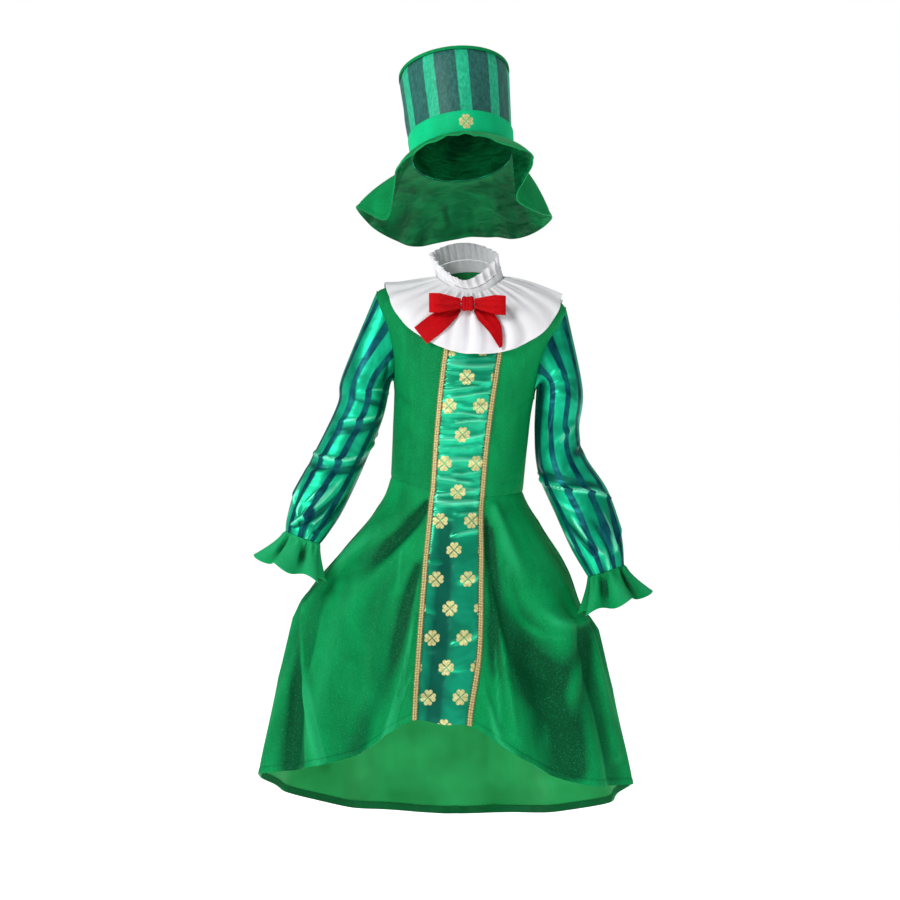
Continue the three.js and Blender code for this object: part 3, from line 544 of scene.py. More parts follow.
def raise_surface(tree, surface, *heights):
    """Bumps a surface by each height map in turn, given with its strength and its distance in metres."""
    normal = {}
    for height, strength, distance in heights:
        sockets = {"Strength": strength, "Distance": distance, "Height": height, **normal}
        bump = add_node(tree, "Bump", sockets)
        normal = {"Normal": bump.outputs["Normal"]}
    tree.links.new(bump.outputs["Normal"], surface.inputs["Normal"])


def shade_folds(tree, shade, painted_shade, painted_ridge_light, low=(-0.3, -8.0, 0.85), high=(1.5, 8.0, 0.5)):
    """Paints shade into the hollows of the folds and a highlight onto their ridges. Each range is the
    fold's height, in millimetres, where the painted change begins and is full, and how strong it is there."""
    height = add_node(tree, "Attribute", attribute_name="fold").outputs["Fac"]
    shade = mix(tree, spread(tree, height, low[0], low[1], 0.0, low[2]), shade, painted_shade)
    return mix(tree, spread(tree, height, high[0], high[1], 0.0, high[2]), shade, painted_ridge_light)


def velvet(name, painted_shade, down, up, painted_highlight, glow, hem_stitch=None, sheen=0.4):
    """Polyester velvet, woven and cut: a short dense pile. Shade is painted into its hollows and a
    highlight onto its ridges; it swallows light where it faces the eye, glows where it turns away, and
    hands brush it darker or lighter."""
    material, tree, surface = new_material(name, Roughness=0.6, Sheen_Weight=sheen, Sheen_Roughness=0.26,
                                           Sheen_Tint=glow, Specular_IOR_Level=0.06)
    clouds = noise(tree, 0.05, 3.0, (1.3, 1.3, 0.6), Distortion=0.6)
    shade = mix(tree, spread(tree, clouds, 0.2, 0.85), down, up)
    # painted shade in the folds' hollows and painted highlight on their ridges
    shade = shade_folds(tree, shade, painted_shade, painted_highlight)
    # the pile tips are 0.3 mm; they are drawn 1.4 mm coarse so that the grain still shows: painted
    # glints on the pale tips and painted shade between them
    tips = noise(tree, 0.0014)
    shade = mix(tree, spread(tree, tips, 0.56, 0.74, 0.0, 0.45), shade, painted_highlight)
    shade = mix(tree, spread(tree, tips, 0.44, 0.24, 0.0, 0.4), shade, painted_shade)
    # painted shade along the groove of the hem's row of stitches
    if hem_stitch is not None:
        from_hem = add_node(tree, "SeparateXYZ", {0: cloth_place(tree)}).outputs["Y"]
        shade = mix(tree, band(tree, from_hem, hem_stitch, 0.0006, 0.0005, 0.35), shade, painted_shade)
    tree.links.new(shade, surface.inputs["Base Color"])
    raise_surface(tree, surface, (tips, 0.35, 0.0006), (clouds, 0.35, 0.003))
    return material


def velvet_back(down, up):
    """The velvet's knitted wrong side: flat, matt and a little paler, with fine ribs."""
    material, tree, surface = new_material("velvet_wrong_side", Roughness=0.85, Sheen_Weight=0.12,
                                           Specular_IOR_Level=0.2)
    ribs = add_node(tree, "TexWave", {"Vector": add_node(tree, "TexCoord").outputs["Object"], "Scale": 160.0,
                                      "Distortion": 1.5, "Detail": 1.0}).outputs["Fac"]
    shade = mix(tree, spread(tree, noise(tree, 0.08), 0.35, 0.65), down, up)
    ribbed = mix(tree, spread(tree, ribs, 0.0, 1.0, 0.0, 0.25), shade, down)
    tree.links.new(ribbed, surface.inputs["Base Color"])
    raise_surface(tree, surface, (ribs, 0.2, 0.0004))
    return material


def clover_distance(tree, place, size):
    """Distance of a place from a clover's outline, in shares of its half size: four heart-shaped leaves
    with a thin gap between each two, and below 0 inside a leaf."""
    out = add_node(tree, "VectorMath", {0: place}, operation="ABSOLUTE").outputs[0]
    out = add_node(tree, "VectorMath", {0: out, "Scale": 1 / size}, operation="SCALE").outputs[0]
    parts = add_node(tree, "SeparateXYZ", {0: out})
    x, y = parts.outputs["X"], parts.outputs["Y"]
    along = add_node(tree, "Math", {0: x, 1: y}, operation="MAXIMUM").outputs[0]
    side = add_node(tree, "Math", {0: x, 1: y}, operation="MINIMUM").outputs[0]
    spot = add_node(tree, "CombineXYZ", {"X": along, "Y": side}).outputs[0]
    # each leaf has two round lobes and a wedge between them that ends at the clover's middle
    lobe = add_node(tree, "VectorMath", {0: spot, 1: (0.705, 0.25, 0)}, operation="DISTANCE").outputs["Value"]
    lobe = add_node(tree, "Math", {0: lobe, 1: 0.272}, operation="SUBTRACT").outputs[0]
    slope = add_node(tree, "Math", {0: along, 1: -0.86, 2: side}, operation="MULTIPLY_ADD").outputs[0]
    slope = add_node(tree, "Math", {0: slope, 1: 0.05}, operation="ADD").outputs[0]
    end = add_node(tree, "Math", {0: along, 1: 0.60}, operation="SUBTRACT").outputs[0]
    wedge = add_node(tree, "Math", {0: slope, 1: end}, operation="MAXIMUM").outputs[0]
    return add_node(tree, "Math", {0: lobe, 1: wedge}, operation="MINIMUM").outputs[0]


SATIN_METALLIC = 0.5


def satin(name, painted_shade, deep, bright, gleam, crumple, strength=0.5):
    """Polyester satin: long floating threads give a wet, streaky shine on every wrinkle, in the cloth's
    own colour, with a gleam painted onto the ridges and shade painted into the darker ground between them."""
    material, tree, surface = new_material(name, Roughness=0.31, Metallic=SATIN_METALLIC,
                                           Specular_IOR_Level=0.3)
    shade = mix(tree, spread(tree, noise(tree, 0.05, 2.0, Distortion=0.8), 0.36, 0.64), deep, bright)
    # painted shade in the hollows and a painted gleam on the ridges
    shade = shade_folds(tree, shade, painted_shade, gleam, (0.1, -2.2, 0.9), (1.2, 3.4, 0.6))
    # threads lie 0.1 mm apart; they are drawn 0.8 mm apart so that they show
    threads = noise(tree, 0.0008, 1.0, (1.0, 1.0, 0.25))
    soft = noise(tree, crumple, 1.5, (0.7, 0.7, 1.5), Distortion=0.7)
    sharp = wrinkles(tree, crumple * 1.4, (0.6, 0.6, 1.5), Distortion=0.4)
    raise_surface(tree, surface, (threads, 0.08, 0.0003), (soft, strength, 0.008),
                  (sharp, strength * 0.3, 0.002))
    return material, tree, surface, shade


def gold_foil(tree, surface, shade, mask, dull, bright, metallic=0.35):
    """Puts dull gold foil over a cloth's colour where the mask is 1."""
    gold = mix(tree, spread(tree, noise(tree, 0.003), 0.35, 0.65), dull, bright)
    tree.links.new(mix(tree, mask, shade, gold), surface.inputs["Base Color"])
    tree.links.new(spread(tree, mask, 0.0, 1.0, SATIN_METALLIC, metallic), surface.inputs["Metallic"])
    tree.links.new(spread(tree, mask, 0.0, 1.0, 0.31, 0.5), surface.inputs["Roughness"])


def clover_satin(satin_colours, foil, half, across, along):
    """Satin with gold foil clovers in rows; each second row lies half way between."""
    material, tree, surface, shade = satin("satin_with_clovers", *satin_colours, 0.045)
    place = cloth_place(tree)
    whole = []
    for shift in (0.0, 0.5):
        moved = add_node(tree, "VectorMath", {0: place, 1: (across * shift, along * shift, 0)},
                         operation="ADD").outputs[0]
        cell = add_node(tree, "VectorMath", {0: moved, 1: (across / 2, along / 2, 1),
                                             2: (-across / 2, -along / 2, -1)}, operation="WRAP").outputs[0]
        whole.append(clover_distance(tree, cell, half))
    nearest = add_node(tree, "Math", {0: whole[0], 1: whole[1]}, operation="MINIMUM").outputs[0]
    gold_foil(tree, surface, shade, spread(tree, nearest, 0.03, -0.03), *foil)
    return material


def band_velvet(velvet_colours, foil, middle, half):
    """Bright velvet of the hat's band with one gold clover pressed on its front."""
    material = velvet("bright_band_pile", *velvet_colours)
    tree = material.node_tree
    surface = tree.nodes["Principled BSDF"]
    shade = surface.inputs["Base Color"].links[0].from_socket
    place = add_node(tree, "VectorMath", {0: cloth_place(tree), 1: (middle[0] * MM, middle[1] * MM, 0)},
                     operation="SUBTRACT").outputs[0]
    edge = clover_distance(tree, place, half)
    mask = spread(tree, edge, 0.03, -0.03)
    gold_foil(tree, surface, shade, mask, *foil)
    tree.links.new(spread(tree, mask, 0.0, 1.0, 0.0, 0.1), surface.inputs["Metallic"])
    tree.links.new(spread(tree, mask, 0.0, 1.0, 0.58, 0.5), surface.inputs["Roughness"])
    return material


def striped_satin(satin_colours, ink, pale_ink, pitch, wide):
    """The sleeves' satin, with dark stripes dyed into it along the arm."""
    material, tree, surface, shade = satin("satin_with_stripes", *satin_colours, 0.055, 0.42)
    surface.inputs["Roughness"].default_value = 0.4
    surface.inputs["Specular IOR Level"].default_value = 0.12
    across = add_node(tree, "SeparateXYZ", {0: cloth_place(tree)}).outputs["X"]
    across = add_node(tree, "Math", {0: across, 1: pitch / 2, 2: -pitch / 2}, operation="WRAP").outputs[0]
    stripe = band(tree, across, 0.0, wide / 2, 0.0007)
    dark = mix(tree, spread(tree, noise(tree, 0.02), 0.35, 0.65), ink, pale_ink)
    tree.links.new(mix(tree, stripe, shade, dark), surface.inputs["Base Color"])
    return material


def striped_velour(dark, dark_crush, light, light_crush, glow, light_share):
    """Pressed velour of the crown: crushed pile with a metallic gleam, in wide dark and narrow light
    stripes. The cloth's first coordinate counts the stripes."""
    material, tree, surface = new_material("pressed_crown_velour", Roughness=0.5, Sheen_Weight=0.12,
                                           Sheen_Roughness=0.35, Sheen_Tint=glow, Specular_IOR_Level=0.25)
    across = add_node(tree, "SeparateXYZ", {0: cloth_place(tree)}).outputs["X"]
    turn = add_node(tree, "Math", {0: across, 1: 0.5, 2: -0.5}, operation="WRAP").outputs[0]
    stripe = band(tree, turn, 0.0, light_share / 2, 0.012)
    crush = noise(tree, 0.005, 3.0, (1.3, 1.3, 0.6), Distortion=0.5)
    crushed = spread(tree, crush, 0.36, 0.72)
    shade = mix(tree, stripe, mix(tree, crushed, dark, dark_crush), mix(tree, crushed, light, light_crush))
    fine = noise(tree, 0.0016)
    # painted glints: single fibres of the pile catch the light
    shade = mix(tree, spread(tree, fine, 0.62, 0.78, 0.0, 0.22), shade, light_crush)
    tree.links.new(shade, surface.inputs["Base Color"])
    raise_surface(tree, surface, (fine, 0.3, 0.0006), (crush, 0.35, 0.0015))
    return material


def brim_lining(deep, bright, gleam):
    """Crinkled dark satin under the brim, glossy on its small folds: a gleam is painted on their ridges and
    shade in its darker colour is painted into their hollows.
    """
    material, tree, surface, shade = satin("crinkled_lining", deep, deep, bright, gleam, 0.020, 0.45)
    for socket, value in (("Roughness", 0.42), ("Metallic", 0.25), ("Specular IOR Level", 0.1)):
        surface.inputs[socket].default_value = value
    tree.links.new(shade, surface.inputs["Base Color"])
    return material


def white_crepe(white, shadow, grey):
    """Matt white polyester crepe: a fine pebbled weave, with grey shade painted into its gathers."""
    material, tree, surface = new_material("matt_white_crepe", Roughness=0.9, Sheen_Weight=0.08,
                                           Specular_IOR_Level=0.2)
    # the pebbles are 0.4 mm; they are drawn 1.1 mm coarse so that they show
    pebbles = noise(tree, 0.0011)
    shade = mix(tree, spread(tree, noise(tree, 0.03), 0.3, 0.7, 0.0, 0.25), white, shadow)
    shade = mix(tree, spread(tree, pebbles, 0.55, 0.8, 0.0, 0.4), shade, shadow)
    # painted shade in the gathers
    tree.links.new(shade_folds(tree, shade, grey, white, (0.0, -2.2, 0.75), (1.0, 4.0, 0.0)),
                   surface.inputs["Base Color"])
    raise_surface(tree, surface, (pebbles, 0.3, 0.0005), (noise(tree, 0.014), 0.25, 0.002))
    return material


def gold_gimp(dull, bright, painted_shade, pitch):
    """Gimp braid: shiny thread wound round two cords that cross in a zigzag; shade is painted dark in the
    holes and a highlight on the cords.
    """
    material, tree, surface = new_material("wound_gold_gimp", Roughness=0.42, Specular_IOR_Level=0.6,
                                           Sheen_Weight=0.2, Metallic=0.3)
    # the wound thread is 0.25 mm; it is drawn 0.9 mm coarse so that it shows
    thread = noise(tree, 0.0009, 1.0)
    along = add_node(tree, "SeparateXYZ", {0: cloth_place(tree)}).outputs["Y"]
    step = add_node(tree, "Math", {0: along, 1: pitch / 2, 2: -pitch / 2}, operation="WRAP").outputs[0]
    gold = mix(tree, spread(tree, thread, 0.3, 0.7), dull, bright)
    # painted shade: a dark line in the holes at each step
    gold = mix(tree, band(tree, step, 0.0, 0.0005, 0.0004, 0.5), gold, painted_shade)
    # painted shade between the cords and painted highlight on them, by the cords' height
    gold = shade_folds(tree, gold, painted_shade, bright, (0.15, -0.25, 0.85), (0.3, 0.7, 0.6))
    tree.links.new(gold, surface.inputs["Base Color"])
    raise_surface(tree, surface, (thread, 0.5, 0.0005))
    return material


BRAID_PITCH = 7.6

# ================= creases, each in its own size =================
# on the skirt and bodice: x and height of the line, front and back apart

FRONT_CREASES = table(
    CREASE,
    # the wearer's right: from the strip's waist, from the raised side, and beside the braid
    (-48, -311, -101, -371, -179, -435, -10, 6, 26, 0.8, 0),
    (-56, -344, -92, -387, -172, -478, 7, 6, 24, 0.3, 0),
    (-52, -392, -79, -450, -118, -564, -7, 8, 18, 0.4, 0.3),
    (-65, -472, -85, -564, -104, -638, 6, 5, 9, 0.2, 0.8),
    (-236, -482, -240, -592, -240, -690, -9, 5, 18, 0.2, 1),
    (-232, -484, -222, -578, -199, -687, 7, 4, 12, 0.3, 0.9),
    (-228, -466, -172, -392, -108, -314, 7, 5, 18, 0.5, 0),
    (-226, -452, -158, -357, -101, -292, -6, 4, 14, 0.4, 0),
    (-158, -507, -150, -580, -158, -650, 5, 26, 34, 0, 0.4),
    (-127, -578, -136, -621, -147, -657, -4, 9, 13, 0, 0.6),
    (-90, -330, -120, -345, -150, -372, 2, 7, 10, 0.2, 0),
    (-72, -520, -84, -590, -96, -650, -4, 4, 8, 0.2, 0.6),
    # the wearer's left
    (49, -316, 78, -392, 107, -467, 7, 10, 24, 0.6, 0), (37, -335, 52, -435, 87, -542, -9, 7, 16, 0.7, 0.3),
    (39, -392, 61, -521, 77, -638, 6, 4, 9, 0.2, 0.8), (32, -549, 39, -592, 54, -635, 4, 4, 8, 0.2, 0.8),
    (186, -497, 128, -566, 74, -482, -9, 9, 24, 0.3, 0.3), (184, -483, 137, -481, 88, -435, 7, 6, 20, 0.4, 0),
    (194, -505, 206, -578, 224, -678, 6, 4, 14, 0.2, 0.8),
    (188, -512, 178, -592, 164, -685, -7, 5, 18, 0.3, 0.8),
    (97, -314, 145, -392, 184, -470, -6, 10, 7, 0.3, 0.4),
    (125, -600, 120, -650, 114, -692, 5, 20, 24, 0, 0.6),
    (36, -450, 44, -520, 50, -570, -3, 4, 7, 0.2, 0.3), (60, -560, 72, -620, 84, -662, -4, 5, 9, 0.2, 0.8),
    # the bodice: soft pulls below the armholes and into the waist
    (-93, -150, -78, -165, -60, -172, -1.6, 4, 7, 0.6, 0),
    (-84, -118, -80, -90, -84, -60, 1.8, 5, 6, 0.3, 0.3),
    (-88, -262, -70, -270, -52, -270, -1.3, 3, 6, 0.8, 0),
    (-86, -246, -66, -250, -50, -246, -1, 3, 6, 0.7, 0),
    (100, -160, 88, -172, 70, -176, -1.6, 4, 7, 0.6, 0), (94, -118, 92, -90, 97, -62, 1.8, 5, 6, 0.3, 0.3),
    (84, -276, 66, -282, 48, -280, -1.4, 3, 6, 0.8, 0), (86, -258, 70, -264, 50, -258, -1, 3, 6, 0.7, 0),
    (70, -110, 62, -150, 60, -200, 1.2, 8, 10, 0, 0), (-66, -110, -70, -150, -72, -200, 1.0, 8, 10, 0, 0))
BACK_CREASES = table(
    CREASE,
    (-60, -296, -95, -380, -170, -450, -8, 7, 24, 0.7, 0),
    (-35, -300, -52, -400, -78, -520, 5, 6, 16, 0.4, 0),
    (-20, -340, -26, -450, -44, -600, -6, 6, 18, 0.3, 0.4),
    (-230, -476, -196, -430, -130, -340, 5, 6, 20, 0.3, 0),
    (-234, -486, -224, -590, -205, -710, 6, 5, 16, 0.2, 0.9),
    (-230, -494, -194, -600, -150, -720, -7, 6, 20, 0.3, 0.7),
    (-120, -560, -112, -660, -105, -760, 5, 12, 22, 0, 0.8),
    (-70, -600, -62, -690, -60, -780, -5, 9, 18, 0, 0.8),
    (12, -300, 16, -420, 14, -560, 5, 7, 18, 0.3, 0.2), (34, -310, 52, -400, 84, -500, -7, 6, 20, 0.6, 0),
    (60, -300, 104, -380, 160, -455, 6, 8, 20, 0.5, 0),
    (186, -502, 160, -600, 132, -730, -7, 6, 20, 0.3, 0.8),
    (192, -506, 198, -600, 206, -700, 5, 5, 15, 0.2, 0.8), (40, -560, 46, -670, 50, -780, 6, 10, 20, 0, 0.9),
    (88, -600, 96, -690, 98, -770, -5, 10, 18, 0, 0.8), (0, -610, -4, -700, -8, -790, 4, 9, 16, 0, 0.8),
    # the bodice's back: across the shoulders and in the small of the back
    (-100, -120, -60, -112, -30, -108, -1.6, 5, 8, 0.6, 0),
    (106, -130, 70, -118, 40, -112, -1.5, 5, 8, 0.6, 0),
    (-80, -240, -40, -250, 0, -246, -1.8, 4, 7, 0.7, 0), (78, -256, 40, -262, 4, -262, -1.6, 4, 7, 0.7, 0),
    (-70, -262, -44, -270, -16, -268, -1.3, 3, 6, 0.7, 0), (60, -80, 52, -130, 48, -190, 1.3, 8, 12, 0, 0),
    (-50, -76, -46, -130, -44, -190, 1.3, 8, 12, 0, 0))
# painted light (+) and painted shade (-) on the front, beside the folds: shading only
PAINTED_LIGHT_AND_SHADE = table(
    CREASE,
    (45, -350, 48, -450, 50, -550, -8, 8, 9, 0.8, 0.5), (56, -484, 99, -576, 192, -484, -7, 22, 22, 0.6, 0.4),
    (99, -600, 140, -640, 190, -670, -4.5, 46, 46, 0.6, 0.6),
    (99, -334, 130, -390, 156, -448, 5, 34, 40, 0.5, 0.5),
    (-136, -455, -140, -520, -143, -597, 3, 60, 60, 0.4, 0.4),
    (-208, -427, -150, -375, -86, -341, 7, 9, 11, 0.6, 0.3),
    (-222, -562, -210, -620, -194, -676, 9, 5, 6, 0.4, 1),
    (-60, -420, -73, -512, -84, -585, 10, 2.6, 4, 0.3, 0.5),
    (-48, -312, -84, -352, -125, -398, -8, 5, 12, 0.8, 0.2),
    (-245, -576, -238, -630, -228, -683, -7, 4, 6, 0.4, 0.9),
    (-63, -400, -88, -505, -108, -600, -11, 6, 17, 0.5, 0.4),
    (118, -540, 134, -580, 166, -690, -7, 16, 18, 0.4, 0.9),
    (-84, -381, -88, -408, -91, -434, 8, 2.5, 3, 0.6, 0.6),
    (-72, -556, -86, -590, -97, -626, 9, 3, 6, 0.4, 1),
    (49, -512, 52, -566, 55, -618, 9, 3, 4, 0.5, 0.6), (42, -600, 52, -640, 72, -661, 8, 4, 5, 0.4, 0.8),
    (66, -405, 92, -484, 156, -506, 7, 6, 9, 0.5, 0.4), (44, -322, 60, -370, 76, -420, 5, 9, 12, 0.6, 0.3))
# on a sleeve: the first of each pair runs round from the top over the front, the second down the arm
SLEEVE_CREASES = {
    "right": table(
        CREASE,
        (52, 78, 85, 74, 112, 84, 2.4, 4, 5, 0.3, 0.8), (25, 126, 68, 120, 103, 112, 2.8, 3.5, 5, 0.4, 0.6),
        (28, 138, 70, 131, 105, 124, -2.4, 4, 5, 0.4, 0.6),
        (2, 160, 60, 166, 115, 148, 3.8, 3.2, 4, 0.6, 0.8),
        (5, 173, 60, 179, 110, 166, -2.8, 4, 5, 0.5, 0.7), (24, 188, 50, 181, 68, 175, 2, 4, 4, 0.3, 0.3),
        (30, 284, 55, 240, 78, 186, 4.2, 4, 7, 0.9, 0.3), (37, 288, 66, 246, 90, 200, -4.6, 3.5, 6, 1, 0.2),
        (44, 230, 56, 207, 68, 190, 2.4, 4, 4, 0.3, 0.3), (70, 262, 84, 225, 94, 200, 3.2, 4, 5, 0.6, 0.2),
        (80, 287, 95, 240, 102, 205, -3.2, 4, 5, 0.8, 0.2), (14, 270, 18, 235, 20, 200, 2.6, 5, 6, 0.6, 0.2),
        (62, 30, 70, 58, 66, 92, 1.6, 4, 5, 0.3, 0.3), (78, 22, 90, 44, 92, 66, -1.8, 4, 5, 0.7, 0.2),
        (36, 40, 44, 80, 40, 120, -1.6, 6, 6, 0.2, 0.2), (48, 94, 80, 96, 104, 104, -1.8, 4, 5, 0.3, 0.6),
        (130, 92, 165, 84, 210, 100, 2.4, 4, 6, 0.6, 0.2), (125, 140, 170, 150, 228, 138, 3, 4, 5, 0.7, 0.4),
        (130, 155, 175, 164, 225, 152, -2.6, 4, 5, 0.6, 0.4),
        (150, 284, 165, 240, 188, 195, 3.6, 4, 7, 0.9, 0.2),
        (186, 287, 204, 240, 216, 200, -3.2, 4, 6, 0.9, 0.2),
        (214, 284, 224, 250, 232, 215, 2.6, 4, 5, 0.7, 0.2)),
    "left": table(
        CREASE,
        (116, 196, 70, 212, 12, 236, 5, 3.2, 4.5, 0.7, 0.6),
        (112, 184, 66, 200, 20, 220, -3.4, 5, 6, 0.6, 0.3),
        (30, 104, 46, 122, 60, 140, 3.4, 7, 9, 0.3, 0.3), (2, 140, 20, 154, 40, 160, -4.2, 6, 7, 0.9, 0.1),
        (95, 60, 102, 120, 110, 176, -3.2, 7, 9, 0.3, 0.6), (40, 44, 58, 38, 78, 50, 1.7, 2.6, 3.2, 0.3, 0.5),
        (34, 58, 55, 52, 80, 64, 1.5, 2.6, 3.2, 0.3, 0.5), (32, 73, 58, 68, 82, 82, 1.4, 2.8, 3.4, 0.3, 0.5),
        (66, 90, 74, 122, 72, 156, 3, 6, 7, 0.2, 0.2), (60, 312, 76, 274, 84, 246, 3.2, 4, 6, 0.9, 0.2),
        (72, 312, 88, 276, 100, 248, -3.2, 4, 6, 0.9, 0.2), (20, 312, 24, 276, 22, 250, -2.8, 4, 6, 0.9, 0.2),
        (95, 310, 104, 280, 113, 256, 2.8, 4, 5, 0.9, 0.2), (44, 312, 52, 280, 58, 256, -2.8, 4, 5, 0.9, 0.2),
        (32, 310, 38, 276, 40, 250, 2.6, 4, 6, 0.9, 0.2), (100, 214, 84, 236, 60, 254, 2, 4, 5, 0.5, 0.2),
        (130, 190, 165, 200, 226, 222, 3.4, 4, 5, 0.7, 0.4),
        (128, 206, 170, 218, 220, 238, -2.8, 4, 5, 0.6, 0.4),
        (132, 96, 170, 90, 214, 108, 2.2, 5, 6, 0.6, 0.2),
        (150, 312, 164, 272, 184, 240, 3.4, 4, 7, 0.9, 0.2),
        (186, 312, 200, 272, 212, 244, -3, 4, 6, 0.9, 0.2),
        (214, 310, 222, 280, 230, 250, 2.6, 4, 5, 0.7, 0.2)),
}
# the strip's ruching over the bodice: height, share of the width where it starts and ends, how far it
# drops from right to left, height of the ridge and its half width
RUCHES = table(
    "z start end drop depth half",
    (-104, 0.1, 0.9, -2, 1.6, 3.4), (-113, 0.0, 1.0, 3, 2.6, 4.2), (-126, 0.0, 0.6, 4, 1.8, 2.4),
    (-138, 0.3, 1.0, -3, 2.0, 2.6), (-146, 0.0, 0.7, -5, 2.4, 2.6), (-156, 0.1, 1.0, -6, 2.6, 2.8),
    (-168, 0.0, 0.5, 3, 1.8, 2.2), (-173, 0.4, 1.0, -4, 2.0, 2.6), (-183, 0.0, 0.9, 2, 2.8, 2.6),
    (-195, 0.3, 1.0, -6, 3.0, 3.2), (-206, 0.0, 0.5, 5, 1.9, 2.4), (-217, 0.0, 1.0, -8, 3.0, 3.4),
    (-228, 0.5, 1.0, -3, 2.0, 2.4), (-234, 0.0, 0.7, 4, 2.2, 2.6), (-249, 0.1, 1.0, 6, 3.0, 4.2),
    (-260, 0.0, 0.4, -3, 2.0, 2.2), (-268, 0.3, 1.0, -5, 2.6, 2.8), (-279, 0.0, 0.8, 6, 3.0, 3.0),
    (-289, 0.4, 1.0, 3, 2.2, 2.4), (-297, 0.0, 0.9, -4, 2.6, 2.8), (-310, 0.0, 1.0, 5, 3.2, 5.0),
    (-326, 0.5, 1.0, -4, 2.2, 3.0), (-334, 0.0, 0.5, -3, 1.8, 3.0), (-357, 0.45, 1.0, -12, 3.0, 3.4),
    (-398, 0.0, 0.35, 12, 1.8, 4.0), (-424, 0.6, 1.0, -14, 2.2, 3.6), (-470, 0.0, 0.25, 16, 1.4, 3.6),
    (-512, 0.55, 1.0, -30, 3.0, 3.6), (-548, 0.3, 0.8, -14, 1.6, 4.0), (-590, 0.0, 0.3, 12, 1.4, 3.6))


def ruching(across, z):
    """Height of the strip's ridges at a share of its width and a height."""
    total = np.zeros_like(z)
    for height, start, end, drop, depth, half in zip(*RUCHES.values()):
        bend = 1.6 * sine(across * 320 + height * 7)
        reach = smoothstep(across, start - 0.08, start + 0.12) * smoothstep(-across, -end - 0.08, -end + 0.12)
        total += depth * reach * np.exp(-((z - height + drop * (across - 0.5) + bend) / half) ** 2)
    # small gathers where the braid holds the strip, every 6 mm or so
    edge = np.exp(-(across / 0.12) ** 2) + np.exp(-((1 - across) / 0.12) ** 2)
    over_bodice = smoothstep(z, -345, -315)
    total += 0.9 * edge * over_bodice * sine(z * 58 + 60 * sine(z * 9.1))
    # long soft hollows down the lower part
    total += (1 - over_bodice) * 2.2 * np.exp(-((across - 0.34) / 0.16) ** 2) * -1
    return total


# ================= the pieces =================

def finish_piece(piece, node):
    """Puts a cloth piece in its node's place."""
    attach(piece, "root")
    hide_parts(node)
    return piece


def from_edges(surface, u, v):
    """Distance of each place of a grid from its four edges, along its own row and column."""
    at = surface(u.ravel(), v.ravel()).reshape(u.shape + (3,))
    across = np.linalg.norm(np.diff(at, axis=1), axis=-1)
    along = np.linalg.norm(np.diff(at, axis=0), axis=-1)
    left = np.concatenate([np.zeros((len(u), 1)), np.cumsum(across, axis=1)], axis=1)
    top = np.concatenate([np.zeros((1, u.shape[1])), np.cumsum(along, axis=0)], axis=0)
    return at, left, left[:, -1:] - left, top, top[-1:] - top


def seam_dip(distance, depth=0.9, half=2.4):
    return -depth * np.exp(-(distance / half) ** 2)


BODICE_LEVELS = np.concatenate([
    np.linspace(0, ARMPIT, 34)[:-1],
    (ARMPIT + SHOULDER) / 2 - (SHOULDER - ARMPIT) / 2 * np.cos(np.linspace(0, np.pi, 41)),
    np.linspace(SHOULDER, NECK, 18)[1:]])
SKIRT_LEVELS = -np.linspace(0, 1, 132) ** 1.05


def make_bodice(cloth, wrong_side):
    for side, sign in (("right", -1), ("left", 1)):
        level = BODICE_LEVELS
        first = strip_angle(side, level)
        last = sign * (90 - armhole_take(level, ARMHOLE_FRONT))
        u, v = grid(first, last, 46, level)
        at, _, right, top, _ = from_edges(dress, u, v)
        relief = creases(FRONT_CREASES, at[..., 0], at[..., 2]) * smoothstep(at[..., 2], -300, -285)
        relief += seam_dip(right) + seam_dip(top, 0.7)
        # painted shade: the wearer's right front is painted a little darker
        piece = shell(f"velvet_bodice_front_{side}", dress, u, v, VELVET, (cloth, wrong_side), relief=relief,
                      fold=relief - 2.2 * (side == "right"))
        finish_piece(piece, f"bodice_front_{side}")
        first = sign * (90 + armhole_take(level, ARMHOLE_BACK))
        last = np.full_like(level, sign * 180.0)
        u, v = grid(first, last, 52, level)
        at, left, right, top, _ = from_edges(dress, u, v)
        relief = creases(BACK_CREASES, at[..., 0], at[..., 2]) * smoothstep(at[..., 2], -300, -285)
        relief += seam_dip(left) + seam_dip(right) + seam_dip(top, 0.7)
        piece = shell(f"velvet_bodice_back_{side}", dress, u, v, VELVET, (cloth, wrong_side), relief=relief)
        finish_piece(piece, f"bodice_back_{side}")


def make_strip(satin_cloth, wrong_side):
    level = np.concatenate([BODICE_LEVELS[1:][::-1], SKIRT_LEVELS])
    level = np.interp(np.linspace(0, len(level) - 1, 330), np.arange(len(level)), level)
    first, last = strip_angle("right", level), strip_angle("left", level)
    u, v = grid(first, last, 34, level)
    at = dress(u.ravel(), v.ravel()).reshape(u.shape + (3,))
    across = np.broadcast_to(np.linspace(0, 1, 35)[None, :], u.shape)
    relief = ruching(across, at[..., 2])
    relief -= 0.9 * (np.exp(-(across / 0.05) ** 2) + np.exp(-((1 - across) / 0.05) ** 2))
    relief = np.maximum(relief, -1.6)
    # the clovers' rows follow a line that leans to the wearer's right
    axis = np.interp(-at[..., 2], (130, 294, 458, 590), (9.4, -3.5, -15, -23.5))
    flat = (at[..., 0] - axis, at[..., 2] + 130.6)
    # painted shade: the flat lower part of the strip is painted darker than the ruched satin
    piece = shell("satin_centre_strip", dress, u, v, SATIN, (satin_cloth, wrong_side), relief=relief,
                  flat=flat, fold=relief - 0.8 * smoothstep(-at[..., 2], 330, 420))
    finish_piece(piece, "centre_panel")


